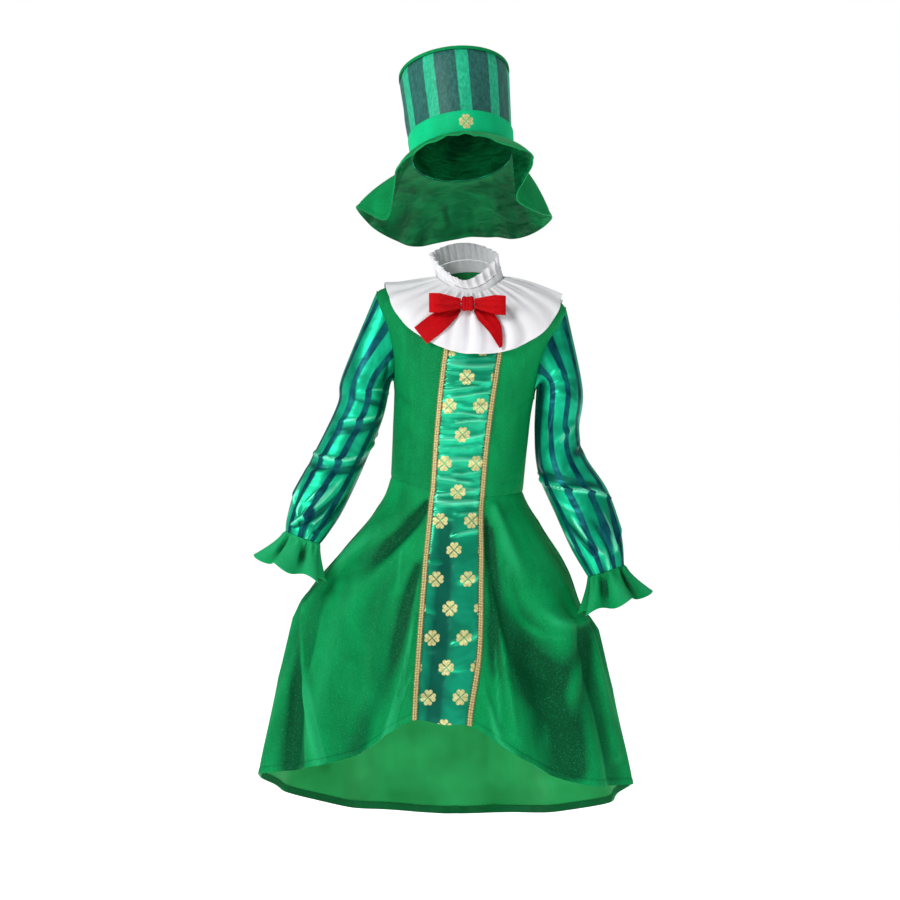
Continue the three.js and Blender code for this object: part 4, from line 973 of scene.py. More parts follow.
def make_braids(gimp):
    level = np.concatenate([BODICE_LEVELS[2:-1][::-1], SKIRT_LEVELS])
    level = np.interp(np.linspace(0, len(level) - 1, 1500), np.arange(len(level)), level)
    for side in ("right", "left"):
        half = BRAID_WIDTH / 2
        first, last = strip_angle(side, level, -half), strip_angle(side, level, half)
        u, v = grid(first, last, 8, level)
        _, left, right, top, _ = from_edges(dress, u, v)
        place = (left - right) / BRAID_WIDTH
        turn = 360 * top / BRAID_PITCH
        relief = np.zeros_like(u)
        for phase in (0, 180):
            away = (place - 0.62 * sine(turn + phase)) / 0.30
            relief = np.maximum(relief, 1.0 * np.exp(-away * away))
        # the cords' loops make a scalloped edge
        u = u + (u - (u[:, :1] + u[:, -1:]) / 2) * 0.28 * cosine(2 * turn)
        piece = shell(f"gimp_braid_{side}", dress, u, v, BRAID_THICK, (gimp,),
                      lift=BRAID_THICK + LAY_GAP, relief=relief - 0.3)
        finish_piece(piece, f"braid_{side}")


def make_skirt(cloth, wrong_side, facing_cloth):
    level = SKIRT_LEVELS
    for side, sign in (("right", -1), ("left", 1)):
        for part, first, last, across, lines in (
                ("front", strip_angle(side, level), sign * 90, 104, FRONT_CREASES),
                ("back", sign * 90, sign * 180, 120, BACK_CREASES)):
            u, v = grid(first, last, across, level)
            at, left, right, top, bottom = from_edges(dress, u, v)
            relief = creases(lines, at[..., 0], at[..., 2]) * smoothstep(-at[..., 2], 288, 320)
            relief += seam_dip(right) * (part == "front") + seam_dip(left) * (part == "back") + seam_dip(top)
            # the turned hem is thicker, down from its row of stitches
            relief += 0.7 * smoothstep(-bottom, -9.5, -7.5) - 0.5 * np.exp(-((bottom - 9) / 1.2) ** 2)
            # painted shade and light: the large folds' depth and the front's painted patches go into the
            # fold's height
            large = (0.32 if part == "front" else 0.5) * fold_depth(u.ravel(), -v.ravel()).reshape(u.shape)
            if part == "front":
                large += creases(PAINTED_LIGHT_AND_SHADE, at[..., 0], at[..., 2])
            piece = shell(f"velvet_skirt_{part}_{side}", dress, u, v, VELVET, (cloth, wrong_side),
                          relief=relief, flat=(left, bottom), fold=relief + large)
            finish_piece(piece, f"skirt_{part}_{side}")
    # the hem's turned depth is the same all along the back
    u, v = grid(90, 270, 200, np.linspace(-1 + HEM_FACING, -1, 7))
    at, left, right, top, bottom = from_edges(dress, u, v)
    relief = creases(BACK_CREASES, at[..., 0], at[..., 2]) + 0.7 - 0.2
    piece = shell("skirt_turned_hem", dress, u, v, SATIN, (facing_cloth,), lift=-VELVET - LAY_GAP,
                  relief=relief)
    finish_piece(piece, "skirt_hem_facing")


def make_collar(crepe):
    u, v = grid(0, 360, 240, np.linspace(0, 1, 10))
    height = SEAM_GAP + (front_to_back(BAND_FRONT, BAND_BACK, u) - SEAM_GAP) * v
    # the band is drawn up a little by the frill's gathers above it
    relief = 0.5 * sine(u * 26) * v * v + 0.35 * sine(u * 11 + 40)
    piece = shell("crepe_neck_band", neck, u, height, WHITE_CLOTH, (crepe,), relief=relief, closed=True)
    finish_piece(piece, "neck_band")
    u, v = grid(0, 360, 832, np.linspace(0, 1, 14))
    # each pleat leans its own way at the free edge
    lean = 3.4 * np.maximum(v, 0) ** 2 * sine(u * 13 + 30 * sine(u * 3))
    relief = 0.9 * v * sine(u * 52 + 30 * sine(u * 5)) - 0.8 * seam_dip(v * 20, 1, 3)
    piece = shell("crepe_neck_frill", frill, u + lean * 0.25, v, WHITE_CLOTH, (crepe,), relief=relief,
                  closed=True)
    finish_piece(piece, "neck_frill")
    u, v = grid(0, 360, 720, np.linspace(0, 1, 30))
    # gathers that start at the neck and die out, strongest at the middle of the front
    strength = 0.5 + 0.9 * np.exp(-(wrap(u - 6) / 34) ** 2) + 0.5 * np.exp(-(wrap(u - 180) / 50) ** 2)
    fade = smoothstep(v, -0.05, 0.12) * (1 - 0.62 * smoothstep(v, 0.3, 1.0))
    relief = 1.3 * strength * fade * sine(u * 31 + 50 * sine(u * 4 + 20))
    relief += 0.8 * strength * fade * sine(u * 53 + 70 * sine(u * 3)) * (1 - smoothstep(v, 0.25, 0.6))
    relief = np.maximum(relief, -1.4)
    # a narrow rolled hem
    relief += 0.5 * smoothstep(v, 0.955, 0.975)
    piece = shell("crepe_wide_collar", flounce, u, v, WHITE_CLOTH, (crepe,), relief=relief, closed=True,
                  sense=-1)
    finish_piece(piece, "collar_flounce")


SLEEVE_ROUND = 240.0  # the cut's mean width
WRIST_GATHERS, ARMHOLE_GATHERS = 15, 13
CREASE_TILT = 0.18  # how much higher the creases lie on the arm's inner side
SLEEVE_TUCK = -0.03  # share of the sleeve that is turned in under the bodice's edge
SLEEVE_TWIST = {"right": 20.0, "left": 6.0}  # how far the stripes turn round the arm on their way down


SLEEVE_RELIEF = (-6.5, 7.5)
# painted light over each cuff, more on the wearer's right
CUFF_PAINTED_LIGHT = {"right": 5.0, "left": 2.5}


def make_sleeves(satin_cloth, lining, cuff_cloths, wrong_side):
    for side, sense in (("right", -1), ("left", 1)):
        def on_sleeve(angle, share, side=side):
            return sleeve(side, angle, share)

        def on_cuff(angle, share, side=side):
            return cuff(side, angle, share)

        u, v = grid(0, 360, 150, np.linspace(SLEEVE_TUCK, 1, 140))
        along = from_edges(on_sleeve, u, v)[3]
        length = along[-1:].mean()
        across = u * SLEEVE_ROUND / 360
        relief = np.zeros_like(u)
        for shift in (-SLEEVE_ROUND, 0, SLEEVE_ROUND):
            down = v * length + CREASE_TILT * (across + shift - SLEEVE_ROUND / 4)
            relief += creases(SLEEVE_CREASES[side], across + shift, down)
        # gathers: deep at the wrist's elastic, shallow at the armhole
        near_wrist, near_top = np.exp(-(length - along) / 22), np.exp(-along / 16)
        drawn = sine(u * WRIST_GATHERS + 60 * sine(u * 3))
        relief += 3.0 * near_wrist * drawn * smoothstep(length - along, -3, 5)
        relief += 0.9 * near_top * sine(u * ARMHOLE_GATHERS + 30 * sine(u * 2)) * smoothstep(along, 0, 6)
        relief *= smoothstep(along, 0, 14) * (0.6 + 0.4 * smoothstep(length - along, 0, 8))
        relief = np.clip(relief, *SLEEVE_RELIEF)
        # where the satin is pushed up, more of it lies on the way round, so the stripes bend at a crease
        flat = (across + SLEEVE_TWIST[side] * along / length + 0.9 * relief, along)
        # painted light on the lower sleeve and painted shade on its upper part, added to the folds' painted
        # shade
        lit = 1.0 * smoothstep(along, 0.5 * length, 0.85 * length) - 0.4
        piece = shell(f"satin_sleeve_{side}", on_sleeve, u, v, SATIN, (satin_cloth, lining), relief=relief,
                      closed=True, sense=sense, flat=flat, fold=1.6 * relief + lit)
        finish_piece(piece, f"sleeve_{side}")
        u, v = grid(0, 360, 190, np.linspace(0, 1, 28))
        brushed = CUFF_PAINTED_LIGHT[side]
        deep = sine(u * CUFF_WAVES + 20 * sine(2 * u))
        gather = 2.4 * sine(u * WRIST_GATHERS + 60 * sine(u * 3)) * np.exp(-v / 0.22)
        fold = -6.0 * np.exp(-((deep + 1) / 0.38) ** 2) * np.exp(-((v - 0.34) / 0.36) ** 2)
        relief = gather * smoothstep(v, 0.0, 0.1) + fold
        # painted shade in the flutes' hollows, painted light on their crests and over the whole cuff
        shade = relief * 1.6 + 6 * deep * np.minimum(1, 2 * v) + brushed
        piece = shell(f"velvet_cuff_{side}", on_cuff, u, v, VELVET, (cuff_cloths[side], wrong_side),
                      relief=relief, closed=True, sense=sense, fold=shade)
        finish_piece(piece, f"cuff_{side}")


def make_bow(ribbon):
    knot_middle = front_at(np.array([BOW_X]), np.array([BOW_Z]))[0] - BOW_OVER - KNOT_DEEP / 2
    squared = 0.3

    def knot(turn, share):
        # a band wrapped round the middle: turn goes round it, share across its width
        s, c = sine(turn), cosine(turn)
        round_y = np.sign(s) * np.abs(s) ** 0.55
        round_z = np.sign(c) * np.abs(c) ** 0.55
        waist = 1 - 0.10 * np.cos(np.pi * (2 * share - 1)) ** 2
        end = np.clip(1 - np.abs(2 * share - 1) ** 9, 0.02, 1) ** 0.5
        return points(BOW_X + KNOT_WIDE / 2 * (2 * share - 1),
                      knot_middle - KNOT_DEEP / 2 * round_y * waist * end,
                      BOW_Z + KNOT_HIGH / 2 * round_z * waist * end)

    u, v = grid(0, 360, 72, np.linspace(0.02, 0.98, 40))
    pull = -0.6 * np.exp(-((v - 0.36) / 0.06) ** 2) - 0.5 * np.exp(-((v - 0.62) / 0.05) ** 2)
    piece = shell("velvet_bow_knot", knot, u, v, RIBBON, (ribbon,), relief=pull, closed=True, sense=1)
    finish_piece(piece, "bow_knot")
    forward = LOOP_FORWARD / (KNOT_DEEP / 2)
    knot_side = KNOT_WIDE / 2 * (1 - forward ** (2 / squared)) ** (squared / 2)
    for side, sign in (("right", -1), ("left", 1)):
        length, end_high, rise = LOOPS[side]

        def loop(turn, share, sign=sign, length=length, end_high=end_high, rise=rise):
            out = 0.5 - 0.5 * cosine(turn)
            high = LOOP_KNOT + (end_high - LOOP_KNOT) * np.minimum(1, 1.5 * out)
            return points(
                BOW_X + sign * (knot_side + 2 * SEAM_GAP + length * out),
                knot_middle - LOOP_FORWARD - LOOP_DEEP / 2 * sine(turn) * (0.45 + 0.55 * out),
                BOW_Z + rise * out + (share - 0.5) * high)

        u, v = grid(0, 360, 96, np.linspace(0, 1, 30))
        out = 0.5 - 0.5 * cosine(u)
        near_knot = np.exp(-(out / 0.32) ** 2)
        relief = -1.5 * near_knot * np.exp(-((v - 0.42) / 0.1) ** 2)
        relief = relief + 1.2 * near_knot * np.exp(-((v - 0.66) / 0.1) ** 2)
        mid_loop = smoothstep(out, 0.15, 0.5) * (1 - smoothstep(out, 0.7, 0.95))
        relief -= 1.1 * np.exp(-((v - 0.30 - 0.2 * out) / 0.09) ** 2) * mid_loop
        piece = shell(f"velvet_bow_loop_{side}", loop, u, v, RIBBON, (ribbon,), relief=relief, closed=True,
                      sense=sign)
        finish_piece(piece, f"bow_loop_{side}")
        rows = TAILS[side]
        count = len(rows["x"]) - 1

        def tail(across, share, rows=rows, count=count, sign=sign):
            at = share * count
            x, z, half = (smooth_rows(rows[name], at) for name in ("x", "z", "half"))
            along = unit(np.stack([smooth_rows(rows[name], at + 0.01) - smooth_rows(rows[name], at - 0.01)
                                   for name in ("x", "z")], -1))
            turn = np.minimum(1, 4 * share)[:, None]
            along = unit((1 - turn) * np.array([sign, 0.0]) + turn * along)
            px, pz = x - along[:, 1] * half * across, z + along[:, 0] * half * across
            over = TAIL_KNOT + (TAIL_END - TAIL_KNOT) * share
            return points(px, front_at(px, pz) - over, pz)

        u, v = grid(-1, 1, 22, np.linspace(0, 1, 46))
        relief = 1.1 * np.exp(-((u - 0.25) / 0.28) ** 2) * (1 - smoothstep(v, 0.2, 0.8))
        relief -= 0.9 * np.exp(-((u + 0.3) / 0.22) ** 2) * (1 - smoothstep(v, 0.3, 0.9))
        piece = shell(f"velvet_bow_tail_{side}", tail, u, v, RIBBON, (ribbon,), relief=relief)
        finish_piece(piece, f"bow_tail_{side}")


CLOVER_ON_BAND = (9.5, 15.0)
HAT_CREASES = table(
    CREASE,
    (-180, 40, -170, 70, -168, 120, -2.5, 8, 14, 0.3, 0.6),
    (-130, 34, -124, 60, -118, 90, 2.0, 8, 12, 0.5, 0.2),
    (-60, 128, -40, 118, -16, 124, -1.6, 5, 6, 0.4, 0.4), (60, 128, 90, 116, 120, 124, -1.8, 5, 7, 0.4, 0.4),
    (100, 40, 96, 70, 104, 110, -1.6, 9, 12, 0.4, 0.2), (150, 36, 158, 80, 150, 128, 2.2, 10, 12, 0.2, 0.6),
    (220, 36, 214, 70, 226, 124, -2.2, 10, 12, 0.4, 0.4),
    (-220, 36, -226, 80, -214, 128, 2.0, 10, 12, 0.4, 0.4))


def make_hat(velour, lining, tip_cloth, band_cloth, brim_cloth, brim_under):
    u, v = grid(-180, 180, 160, np.linspace(-0.9, CROWN_HEIGHT, 44))
    mean_round = np.pi * (HEAD_WIDE + HEAD_DEEP + TOP_WIDE + TOP_DEEP) / 2
    across = u * mean_round / 360
    relief = creases(HAT_CREASES, across, v)
    for shift in (-mean_round, mean_round):
        relief += creases(HAT_CREASES, across + shift, v)
    relief = relief * smoothstep(v, 20, 45) - 3.0 * smoothstep(v, CROWN_HEIGHT - 11, CROWN_HEIGHT)
    # stripes are narrow and light, a tenth of the crown apart, and one lies just left of the middle
    flat = ((u - 8.5) / 36 / MM, v)
    piece = shell("velour_crown_side", crown, u, v, VELVET, (velour, lining), relief=relief, closed=True,
                  flat=flat)
    finish_piece(piece, "hat_side")
    u, v = grid(-180, 180, 220, np.linspace(0.2, HAT_BAND, 14))
    from_top = HAT_BAND - v
    relief = 0.5 * sine(u * 5 + 40) * smoothstep(v, 4, 20) - 0.9 * np.exp(-(from_top / 1.6) ** 2)
    relief = relief - 0.9 * np.exp(-(v / 1.8) ** 2)
    piece = shell("velvet_hat_band", crown, u, v, VELVET, (band_cloth,), lift=VELVET + LAY_GAP, relief=relief,
                  closed=True, flat=(u * np.pi * (HEAD_WIDE + HEAD_DEEP) / 360, v))
    finish_piece(piece, "hat_band")

    def tip(angle, share):
        # flat and slightly domed, then turned down over the crown's top edge
        radius = np.minimum(share / 0.9, 1.0)
        turned = np.maximum(share - 0.9, 0) / 0.1
        lower = 1 - (1 - np.minimum(turned, 1)) ** 2
        dome = HAT_TIP_DOME * (1 - radius ** 2.2)
        push = 1 + 0.003 * smoothstep(share, 0.88, 0.95)
        return place_hat(points(TOP_WIDE * radius * push * sine(angle),
                                -TOP_DEEP * radius * push * cosine(angle),
                                CROWN_HEIGHT + SEAM_GAP + VELVET + dome - 4.6 * lower))

    u, v = grid(-180, 180, 140, np.concatenate([np.linspace(0.004, 0.86, 26), np.linspace(0.87, 1, 14)]))
    relief = 0.8 * sine(u * 3 + 70 * v) * smoothstep(v, 0.2, 0.6) * (1 - smoothstep(v, 0.8, 0.9))
    piece = shell("velvet_crown_tip", tip, u, v, VELVET, (tip_cloth, lining), relief=relief, closed=True,
                  sense=-1)
    finish_piece(piece, "hat_tip")
    u, v = grid(-180, 180, 340, np.linspace(0, 1, 50))
    # the two layers pucker along the stitched edge, and the soft brim ripples a little
    relief = 1.1 * sine(u * 17 + 80 * sine(u * 2)) * smoothstep(v, 0.35, 0.9)
    relief += 0.3 * sine(u * 41 + 90 * sine(u * 3)) * smoothstep(v, 0.7, 1.0)
    relief += 0.5 * smoothstep(v, 0.94, 0.97) - 0.7 * np.exp(-((v - 0.93) / 0.012) ** 2)
    piece = shell("velvet_hat_brim", brim, u, v, BRIM_CLOTH, (brim_cloth, brim_under), relief=relief,
                  closed=True, sense=-1)
    finish_piece(piece, "hat_brim")


# ================= the add-on =================

def tint(name, description, hex_value):
    return bpy.props.FloatVectorProperty(name=name, description=description, default=colour(hex_value)[:3],
                                         size=3, min=0.0, max=1.0, subtype="COLOR")


def length(name, description, millimetres):
    return bpy.props.FloatProperty(name=name, description=description, default=millimetres * MM, min=0.0005,
                                   max=0.2, precision=4, unit="LENGTH")


class CostumeCloths(bpy.types.PropertyGroup):
    """Colours of the cloths and sizes of their patterns."""
    # painted shade in the velvet's folds, between its pile tips and along the hem's stitches
    velvet_painted_shade: tint("Velvet, hollow", "Colour of the green velvet deep in its folds", "#013a22")
    velvet_down: tint("Velvet, brushed down", "Darker colour of the green velvet's clouds", "#03753e")
    velvet_up: tint("Velvet, brushed up", "Lighter colour of the green velvet's clouds", "#059a54")
    # painted highlight on the velvet's ridges and painted glints on its pile tips; also the lighter cuff's
    # colour
    velvet_painted_highlight: tint("Velvet, worn", "Colour of the green velvet's pressed lines and tips", "#28b272")
    # the velvets' sheen tint; also painted as gleam on the lining's ridges
    velvet_sheen_and_painted_gleam: tint("Velvet, glow", "Colour of the pile where the velvet turns away", "#14b868")
    # also painted as highlight on the ridges of the turned velvet
    inside_down: tint("Wrong side, dark", "Darker colour of the velvet's wrong side", "#168a44")
    inside_up: tint("Wrong side, light", "Lighter colour of the velvet's wrong side", "#24a65a")
    turned_down: tint("Turned velvet, dark", "Darker colour of the turned hem and the cuffs' inside",
                      "#04502a")
    turned_up: tint("Turned velvet, light", "Lighter colour of the turned hem and the cuffs' inside",
                    "#0a6a38")
    # painted shade in the satin's folds
    satin_painted_shade: tint("Satin, hollow", "Colour of the green satin in its folds", "#04584a")
    satin_deep: tint("Satin, ground", "Darker colour of the green satin", "#079a70")
    satin_bright: tint("Satin, lit", "Lighter colour of the green satin", "#16cc98")
    # painted gleam on the satin's ridges; also the crown's sheen tint
    satin_sheen_and_painted_gleam: tint("Satin, gleam", "Colour of the satin where it turns away", "#7cf2c8")
    stripe_ink: tint("Stripe", "Colour of the sleeves' stripes", "#043f50")
    stripe_pale: tint("Stripe, pale", "Lighter colour of the sleeves' stripes", "#0a6668")
    stripe_pitch: length("Stripe pitch", "Distance from one stripe of the sleeves to the next", 25.0)
    stripe_wide: length("Stripe width", "Width of the sleeves' stripes", 9.0)
    foil_dull: tint("Foil, dull", "Darker colour of the clovers", "#bfb76e")
    foil_bright: tint("Foil, bright", "Lighter colour of the clovers", "#e2dea4")
    clover_half: length("Clover size", "Half the width of a clover on the strip", 11.0)
    clover_across: length("Clovers across", "Distance between two clovers of a row", 45.2)
    clover_along: length("Clovers along", "Distance between two like rows of clovers", 82.4)
    band_clover: length("Band's clover", "Half the width of the clover on the hat's band", 11.0)
    band_down: tint("Band, brushed down", "Darker colour of the hat's band", "#06b474")
    band_up: tint("Band, brushed up", "Lighter colour of the hat's band", "#10d490")
    crown_dark: tint("Crown, wide stripes", "Colour of the crown's wide stripes", "#1d544e")
    crown_dark_crush: tint("Crown, crushed", "Colour of the wide stripes where the pile is crushed",
                           "#2e6f66")
    crown_light: tint("Crown, narrow stripes", "Colour of the crown's narrow stripes", "#18a078")
    crown_light_crush: tint("Crown, narrow and crushed", "The narrow stripes where crushed", "#2cc496")
    crown_light_share: bpy.props.FloatProperty(
        name="Narrow stripe share", description="Width of a narrow stripe as a share of the stripes' pitch",
        default=0.36, min=0.05, max=0.95, subtype="FACTOR")
    # also painted as shade in the lining's hollows
    lining_deep: tint("Lining, dark", "Darker colour of the brim's lining", "#04552f")
    lining_bright: tint("Lining, light", "Lighter colour of the brim's lining", "#0a8248")
    white: tint("White crepe", "Colour of the collar", "#ececef")
    white_shadow: tint("White crepe, grey", "Colour between the crepe's pebbles", "#d4d2d8")
    # painted shade in the collar's gathers
    white_painted_shade: tint("White crepe, hollow", "Colour in the collar's gathers", "#aaa5b0")
    # painted shade in the bow's folds
    ribbon_painted_shade: tint("Ribbon, hollow", "Colour of the bow in its folds", "#5e0106")
    ribbon_down: tint("Ribbon, dark", "Darker colour of the bow", "#98020a")
    ribbon_up: tint("Ribbon, light", "Lighter colour of the bow", "#c4060f")
    # the bow's sheen tint; also painted highlight on its ridges and pile tips
    ribbon_sheen_and_painted_highlight: tint("Ribbon, glow", "Colour of the bow's pile where it turns away", "#e02c2e")
    braid_dull: tint("Braid, dull", "Darker colour of the gold braid", "#94824a")
    # also painted as highlight on the braid's cords
    braid_bright: tint("Braid, bright", "Lighter colour of the gold braid", "#dfcb8a")
    # painted shade in the holes between the braid's cords
    braid_painted_shade: tint("Braid, holes", "Colour between the braid's cords", "#5e4a1c")


def cloth(name):
    """One of the costume's materials, made when it is first needed."""
    made = bpy.data.materials.get(name)
    return made if made is not None else CLOTHS[name](bpy.context.scene.costume_cloths)


def tinted(cloths, *names):
    """Colours of the settings with these names, with alpha."""
    return [(*getattr(cloths, name), 1.0) for name in names]


GREEN = ("velvet_painted_shade", "velvet_down", "velvet_up", "velvet_painted_highlight", "velvet_sheen_and_painted_gleam")
SATIN_COLOURS = ("satin_painted_shade", "satin_deep", "satin_bright", "satin_sheen_and_painted_gleam")
FOIL = ("foil_dull", "foil_bright")
HEM_STITCH = 0.009

CLOTHS = {
    "short_pile_velvet": lambda c: velvet("short_pile_velvet", *tinted(c, *GREEN)),
    # a lighter copy of the velvet, painted light for the wearer's right cuff
    "painted_lit_velvet": lambda c: velvet(
        "painted_lit_velvet",
        *tinted(c, "velvet_painted_shade", "velvet_up", "velvet_painted_highlight", "velvet_painted_highlight", "velvet_sheen_and_painted_gleam")),
    "hemmed_velvet": lambda c: velvet("hemmed_velvet", *tinted(c, *GREEN), hem_stitch=HEM_STITCH),
    # the wrong side's darker colour is painted as highlight on the turned velvet's ridges
    "turned_velvet": lambda c: velvet(
        "turned_velvet",
        *tinted(c, "velvet_painted_shade", "turned_down", "turned_up", "inside_down", "inside_up"), sheen=0.2),
    "velvet_wrong_side": lambda c: velvet_back(*tinted(c, "inside_down", "inside_up")),
    "red_ribbon_pile": lambda c: velvet(
        "red_ribbon_pile",
        *tinted(c, "ribbon_painted_shade", "ribbon_down", "ribbon_up", "ribbon_sheen_and_painted_highlight", "ribbon_sheen_and_painted_highlight"), sheen=0.12),
    # the band's hollows are painted in the velvet's darker cloud colour, as shade
    "bright_band_pile": lambda c: band_velvet(
        tinted(c, "velvet_down", "band_down", "band_up", "velvet_painted_highlight", "velvet_sheen_and_painted_gleam"), tinted(c, *FOIL),
        CLOVER_ON_BAND, c.band_clover),
    "satin_with_clovers": lambda c: clover_satin(
        tinted(c, *SATIN_COLOURS), tinted(c, *FOIL), c.clover_half, c.clover_across, c.clover_along),
    "satin_with_stripes": lambda c: striped_satin(
        tinted(c, *SATIN_COLOURS), *tinted(c, "stripe_ink", "stripe_pale"), c.stripe_pitch, c.stripe_wide),
    "pressed_crown_velour": lambda c: striped_velour(
        *tinted(c, "crown_dark", "crown_dark_crush", "crown_light", "crown_light_crush", "satin_sheen_and_painted_gleam"),
        c.crown_light_share),
    "crinkled_lining": lambda c: brim_lining(*tinted(c, "lining_deep", "lining_bright", "velvet_sheen_and_painted_gleam")),
    "matt_white_crepe": lambda c: white_crepe(*tinted(c, "white", "white_shadow", "white_painted_shade")),
    "wound_gold_gimp": lambda c: gold_gimp(*tinted(c, "braid_dull", "braid_bright", "braid_painted_shade"),
                                           BRAID_PITCH * MM),
}


class CostumeStage(bpy.types.PropertyGroup):
    """The studio's sizes and lights."""
    floor_height: bpy.props.FloatProperty(
        name="Floor height", description="Height of the floor, where the wearer's feet would stand",
        default=-1.0, unit="LENGTH")
    key_power: bpy.props.FloatProperty(
        name="Key light", description="Power of the large soft light at the front left", default=88.0,
        min=0.0, unit="POWER")
    fill_power: bpy.props.FloatProperty(
        name="Fill light", description="Power of the soft light at the front right", default=6.0, min=0.0,
        unit="POWER")
    top_power: bpy.props.FloatProperty(
        name="Top light", description="Power of the soft light above and behind", default=24.0, min=0.0,
        unit="POWER")
    ambient: bpy.props.FloatProperty(
        name="Ambient light", description="Strength of the light from all round", default=0.26, min=0.0)
    camera_place: bpy.props.FloatVectorProperty(
        name="Camera", description="Where the camera stands; it looks level along +Y",
        default=(-0.015, -3.5, -0.235), size=3, subtype="TRANSLATION")
    camera_width: bpy.props.FloatProperty(
        name="Picture width", description="Width that the camera sees at the costume", default=1.323,
        min=0.1, unit="LENGTH")


def add_light(name, place, target, size, power, tint="#ffffff"):
    light = bpy.data.lights.new(name, "AREA")
    light.shape, light.size, light.size_y = "RECTANGLE", size[0], size[1]
    light.energy, light.color = power, colour(tint)[:3]
    lamp = bpy.data.objects.new(name, light)
    lamp.location = place
    lamp.rotation_euler = (Vector(target) - Vector(place)).to_track_quat("-Z", "Y").to_euler()
    bpy.context.scene.collection.objects.link(lamp)
    return lamp


def make_stage(sizes):
    floor = bpy.data.meshes.new("studio_floor")
    turns = np.linspace(0, 2 * np.pi, 65)[:-1]
    reach = 14.0
    floor.from_pydata([(reach * np.cos(t), reach * np.sin(t), sizes.floor_height) for t in turns], [],
                      [list(range(64))])
    # a lit white floor, which goes over into the white air behind it
    material, tree, surface = new_material("lit_floor", Roughness=0.9, Specular_IOR_Level=0.1,
                                           Emission_Color=colour("#ffffff"), Emission_Strength=0.9)
    clouded = mix(tree, noise(tree, 0.6), colour("#f2f2f2"), colour("#fafafa"))
    tree.links.new(clouded, surface.inputs["Base Color"])
    floor.materials.append(material)
    ground = bpy.data.objects.new("studio_floor", floor)
    bpy.context.scene.collection.objects.link(ground)
    middle = (0.0, 0.0, -0.2)
    add_light("key_softbox", (-2.2, -2.5, 1.6), middle, (1.1, 1.6), sizes.key_power)
    add_light("fill_softbox", (2.4, -2.2, 0.4), middle, (1.4, 2.2), sizes.fill_power)
    add_light("top_softbox", (0.3, 1.4, 2.4), middle, (2.0, 1.4), sizes.top_power)
    world = bpy.data.worlds.new("studio_air")
    bpy.context.scene.world = world
    world.use_nodes = True
    tree = world.node_tree
    seen = add_node(tree, "LightPath").outputs["Is Camera Ray"]
    air = tree.nodes["Background"]
    air.inputs["Color"].default_value = (1, 1, 1, 1)
    tree.links.new(spread(tree, seen, 0.0, 1.0, sizes.ambient, 1.0), air.inputs["Strength"])
    camera = bpy.data.cameras.new("studio_camera")
    camera.sensor_width = 36.0
    camera.lens = camera.sensor_width * abs(sizes.camera_place[1]) / sizes.camera_width
    eye = bpy.data.objects.new("studio_camera", camera)
    eye.location = sizes.camera_place
    eye.rotation_euler = (np.pi / 2, 0, 0)
    bpy.context.scene.collection.objects.link(eye)
    bpy.context.scene.camera = eye
    bpy.context.scene.view_settings.view_transform = "Standard"


class MakeStage(bpy.types.Operator):
    """Sets up the pale floor, the soft lights and the camera"""
    bl_idname = "costume.make_stage"
    bl_label = "Studio"

    def execute(self, context):
        make_stage(context.scene.costume_stage)
        return {"FINISHED"}


class MakeBodice(bpy.types.Operator):
    """Makes the velvet fronts and backs of the bodice"""
    bl_idname = "costume.make_bodice"
    bl_label = "Bodice"

    def execute(self, context):
        make_bodice(cloth("short_pile_velvet"), cloth("velvet_wrong_side"))
        return {"FINISHED"}


class MakeStrip(bpy.types.Operator):
    """Makes the ruched satin strip with clovers and the gold braid on its two edges"""
    bl_idname = "costume.make_strip"
    bl_label = "Satin strip and braid"

    def execute(self, context):
        make_strip(cloth("satin_with_clovers"), cloth("velvet_wrong_side"))
        make_braids(cloth("wound_gold_gimp"))
        return {"FINISHED"}


class MakeSkirt(bpy.types.Operator):
    """Makes the four velvet gores of the skirt and the turned hem inside its back"""
    bl_idname = "costume.make_skirt"
    bl_label = "Skirt"

    def execute(self, context):
        make_skirt(cloth("hemmed_velvet"), cloth("velvet_wrong_side"), cloth("turned_velvet"))
        return {"FINISHED"}


class MakeCollar(bpy.types.Operator):
    """Makes the white collar's band, frill and wide flounce"""
    bl_idname = "costume.make_collar"
    bl_label = "Collar"

    def execute(self, context):
        make_collar(cloth("matt_white_crepe"))
        return {"FINISHED"}


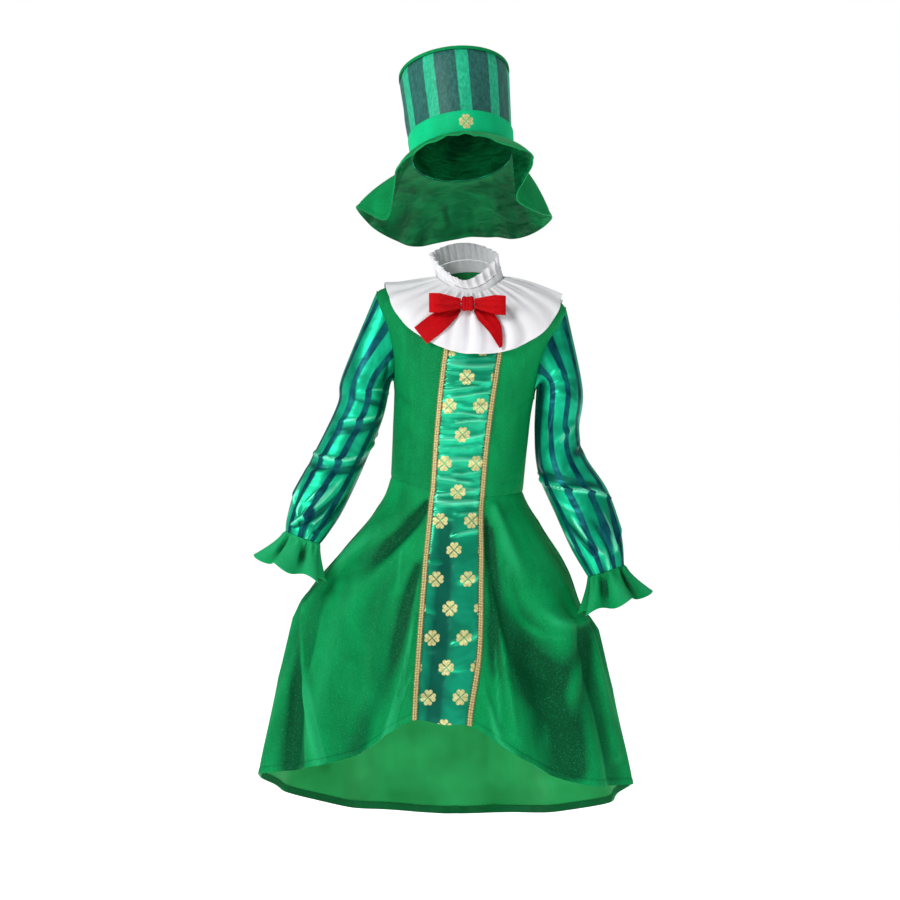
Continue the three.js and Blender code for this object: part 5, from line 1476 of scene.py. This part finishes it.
class MakeSleeves(bpy.types.Operator):
    """Makes the striped satin sleeves and their velvet cuffs"""
    bl_idname = "costume.make_sleeves"
    bl_label = "Sleeves and cuffs"

    def execute(self, context):
        # painted light: the wearer's right cuff gets a lighter copy of the velvet
        make_sleeves(cloth("satin_with_stripes"), cloth("velvet_wrong_side"),
                     {"right": cloth("painted_lit_velvet"), "left": cloth("short_pile_velvet")},
                     cloth("turned_velvet"))
        return {"FINISHED"}


class MakeBow(bpy.types.Operator):
    """Makes the red velvet bow: knot, two loops and two tails"""
    bl_idname = "costume.make_bow"
    bl_label = "Bow"

    def execute(self, context):
        make_bow(cloth("red_ribbon_pile"))
        return {"FINISHED"}


class MakeHat(bpy.types.Operator):
    """Makes the striped crown, its tip, the bright band and the soft brim"""
    bl_idname = "costume.make_hat"
    bl_label = "Hat"

    def execute(self, context):
        make_hat(cloth("pressed_crown_velour"), cloth("crinkled_lining"), cloth("short_pile_velvet"),
                 cloth("bright_band_pile"), cloth("short_pile_velvet"), cloth("crinkled_lining"))
        return {"FINISHED"}


PIECE_OPERATORS = (MakeStage, MakeBodice, MakeStrip, MakeSkirt, MakeCollar, MakeSleeves, MakeBow, MakeHat)


class CostumePanel(bpy.types.Panel):
    """Lists the costume's pieces and the studio"""
    bl_idname = "VIEW3D_PT_costume"
    bl_label = "Leprechaun costume"
    bl_space_type = "VIEW_3D"
    bl_region_type = "UI"
    bl_category = "Costume"

    def draw(self, context):
        for operator in PIECE_OPERATORS:
            self.layout.operator(operator.bl_idname)
        for sizes in (context.scene.costume_cloths, context.scene.costume_stage):
            for name in sizes.__annotations__:
                self.layout.prop(sizes, name)


CLASSES = (CostumeCloths, CostumeStage, *PIECE_OPERATORS, CostumePanel)


def register():
    for each in CLASSES:
        bpy.utils.register_class(each)
    bpy.types.Scene.costume_cloths = bpy.props.PointerProperty(type=CostumeCloths)
    bpy.types.Scene.costume_stage = bpy.props.PointerProperty(type=CostumeStage)


def unregister():
    del bpy.types.Scene.costume_stage
    del bpy.types.Scene.costume_cloths
    for each in reversed(CLASSES):
        bpy.utils.unregister_class(each)


def main():
    register()
    for operator in PIECE_OPERATORS:
        group, name = operator.bl_idname.split(".")
        getattr(getattr(bpy.ops, group), name)()


if __name__ == "__main__":
    main()
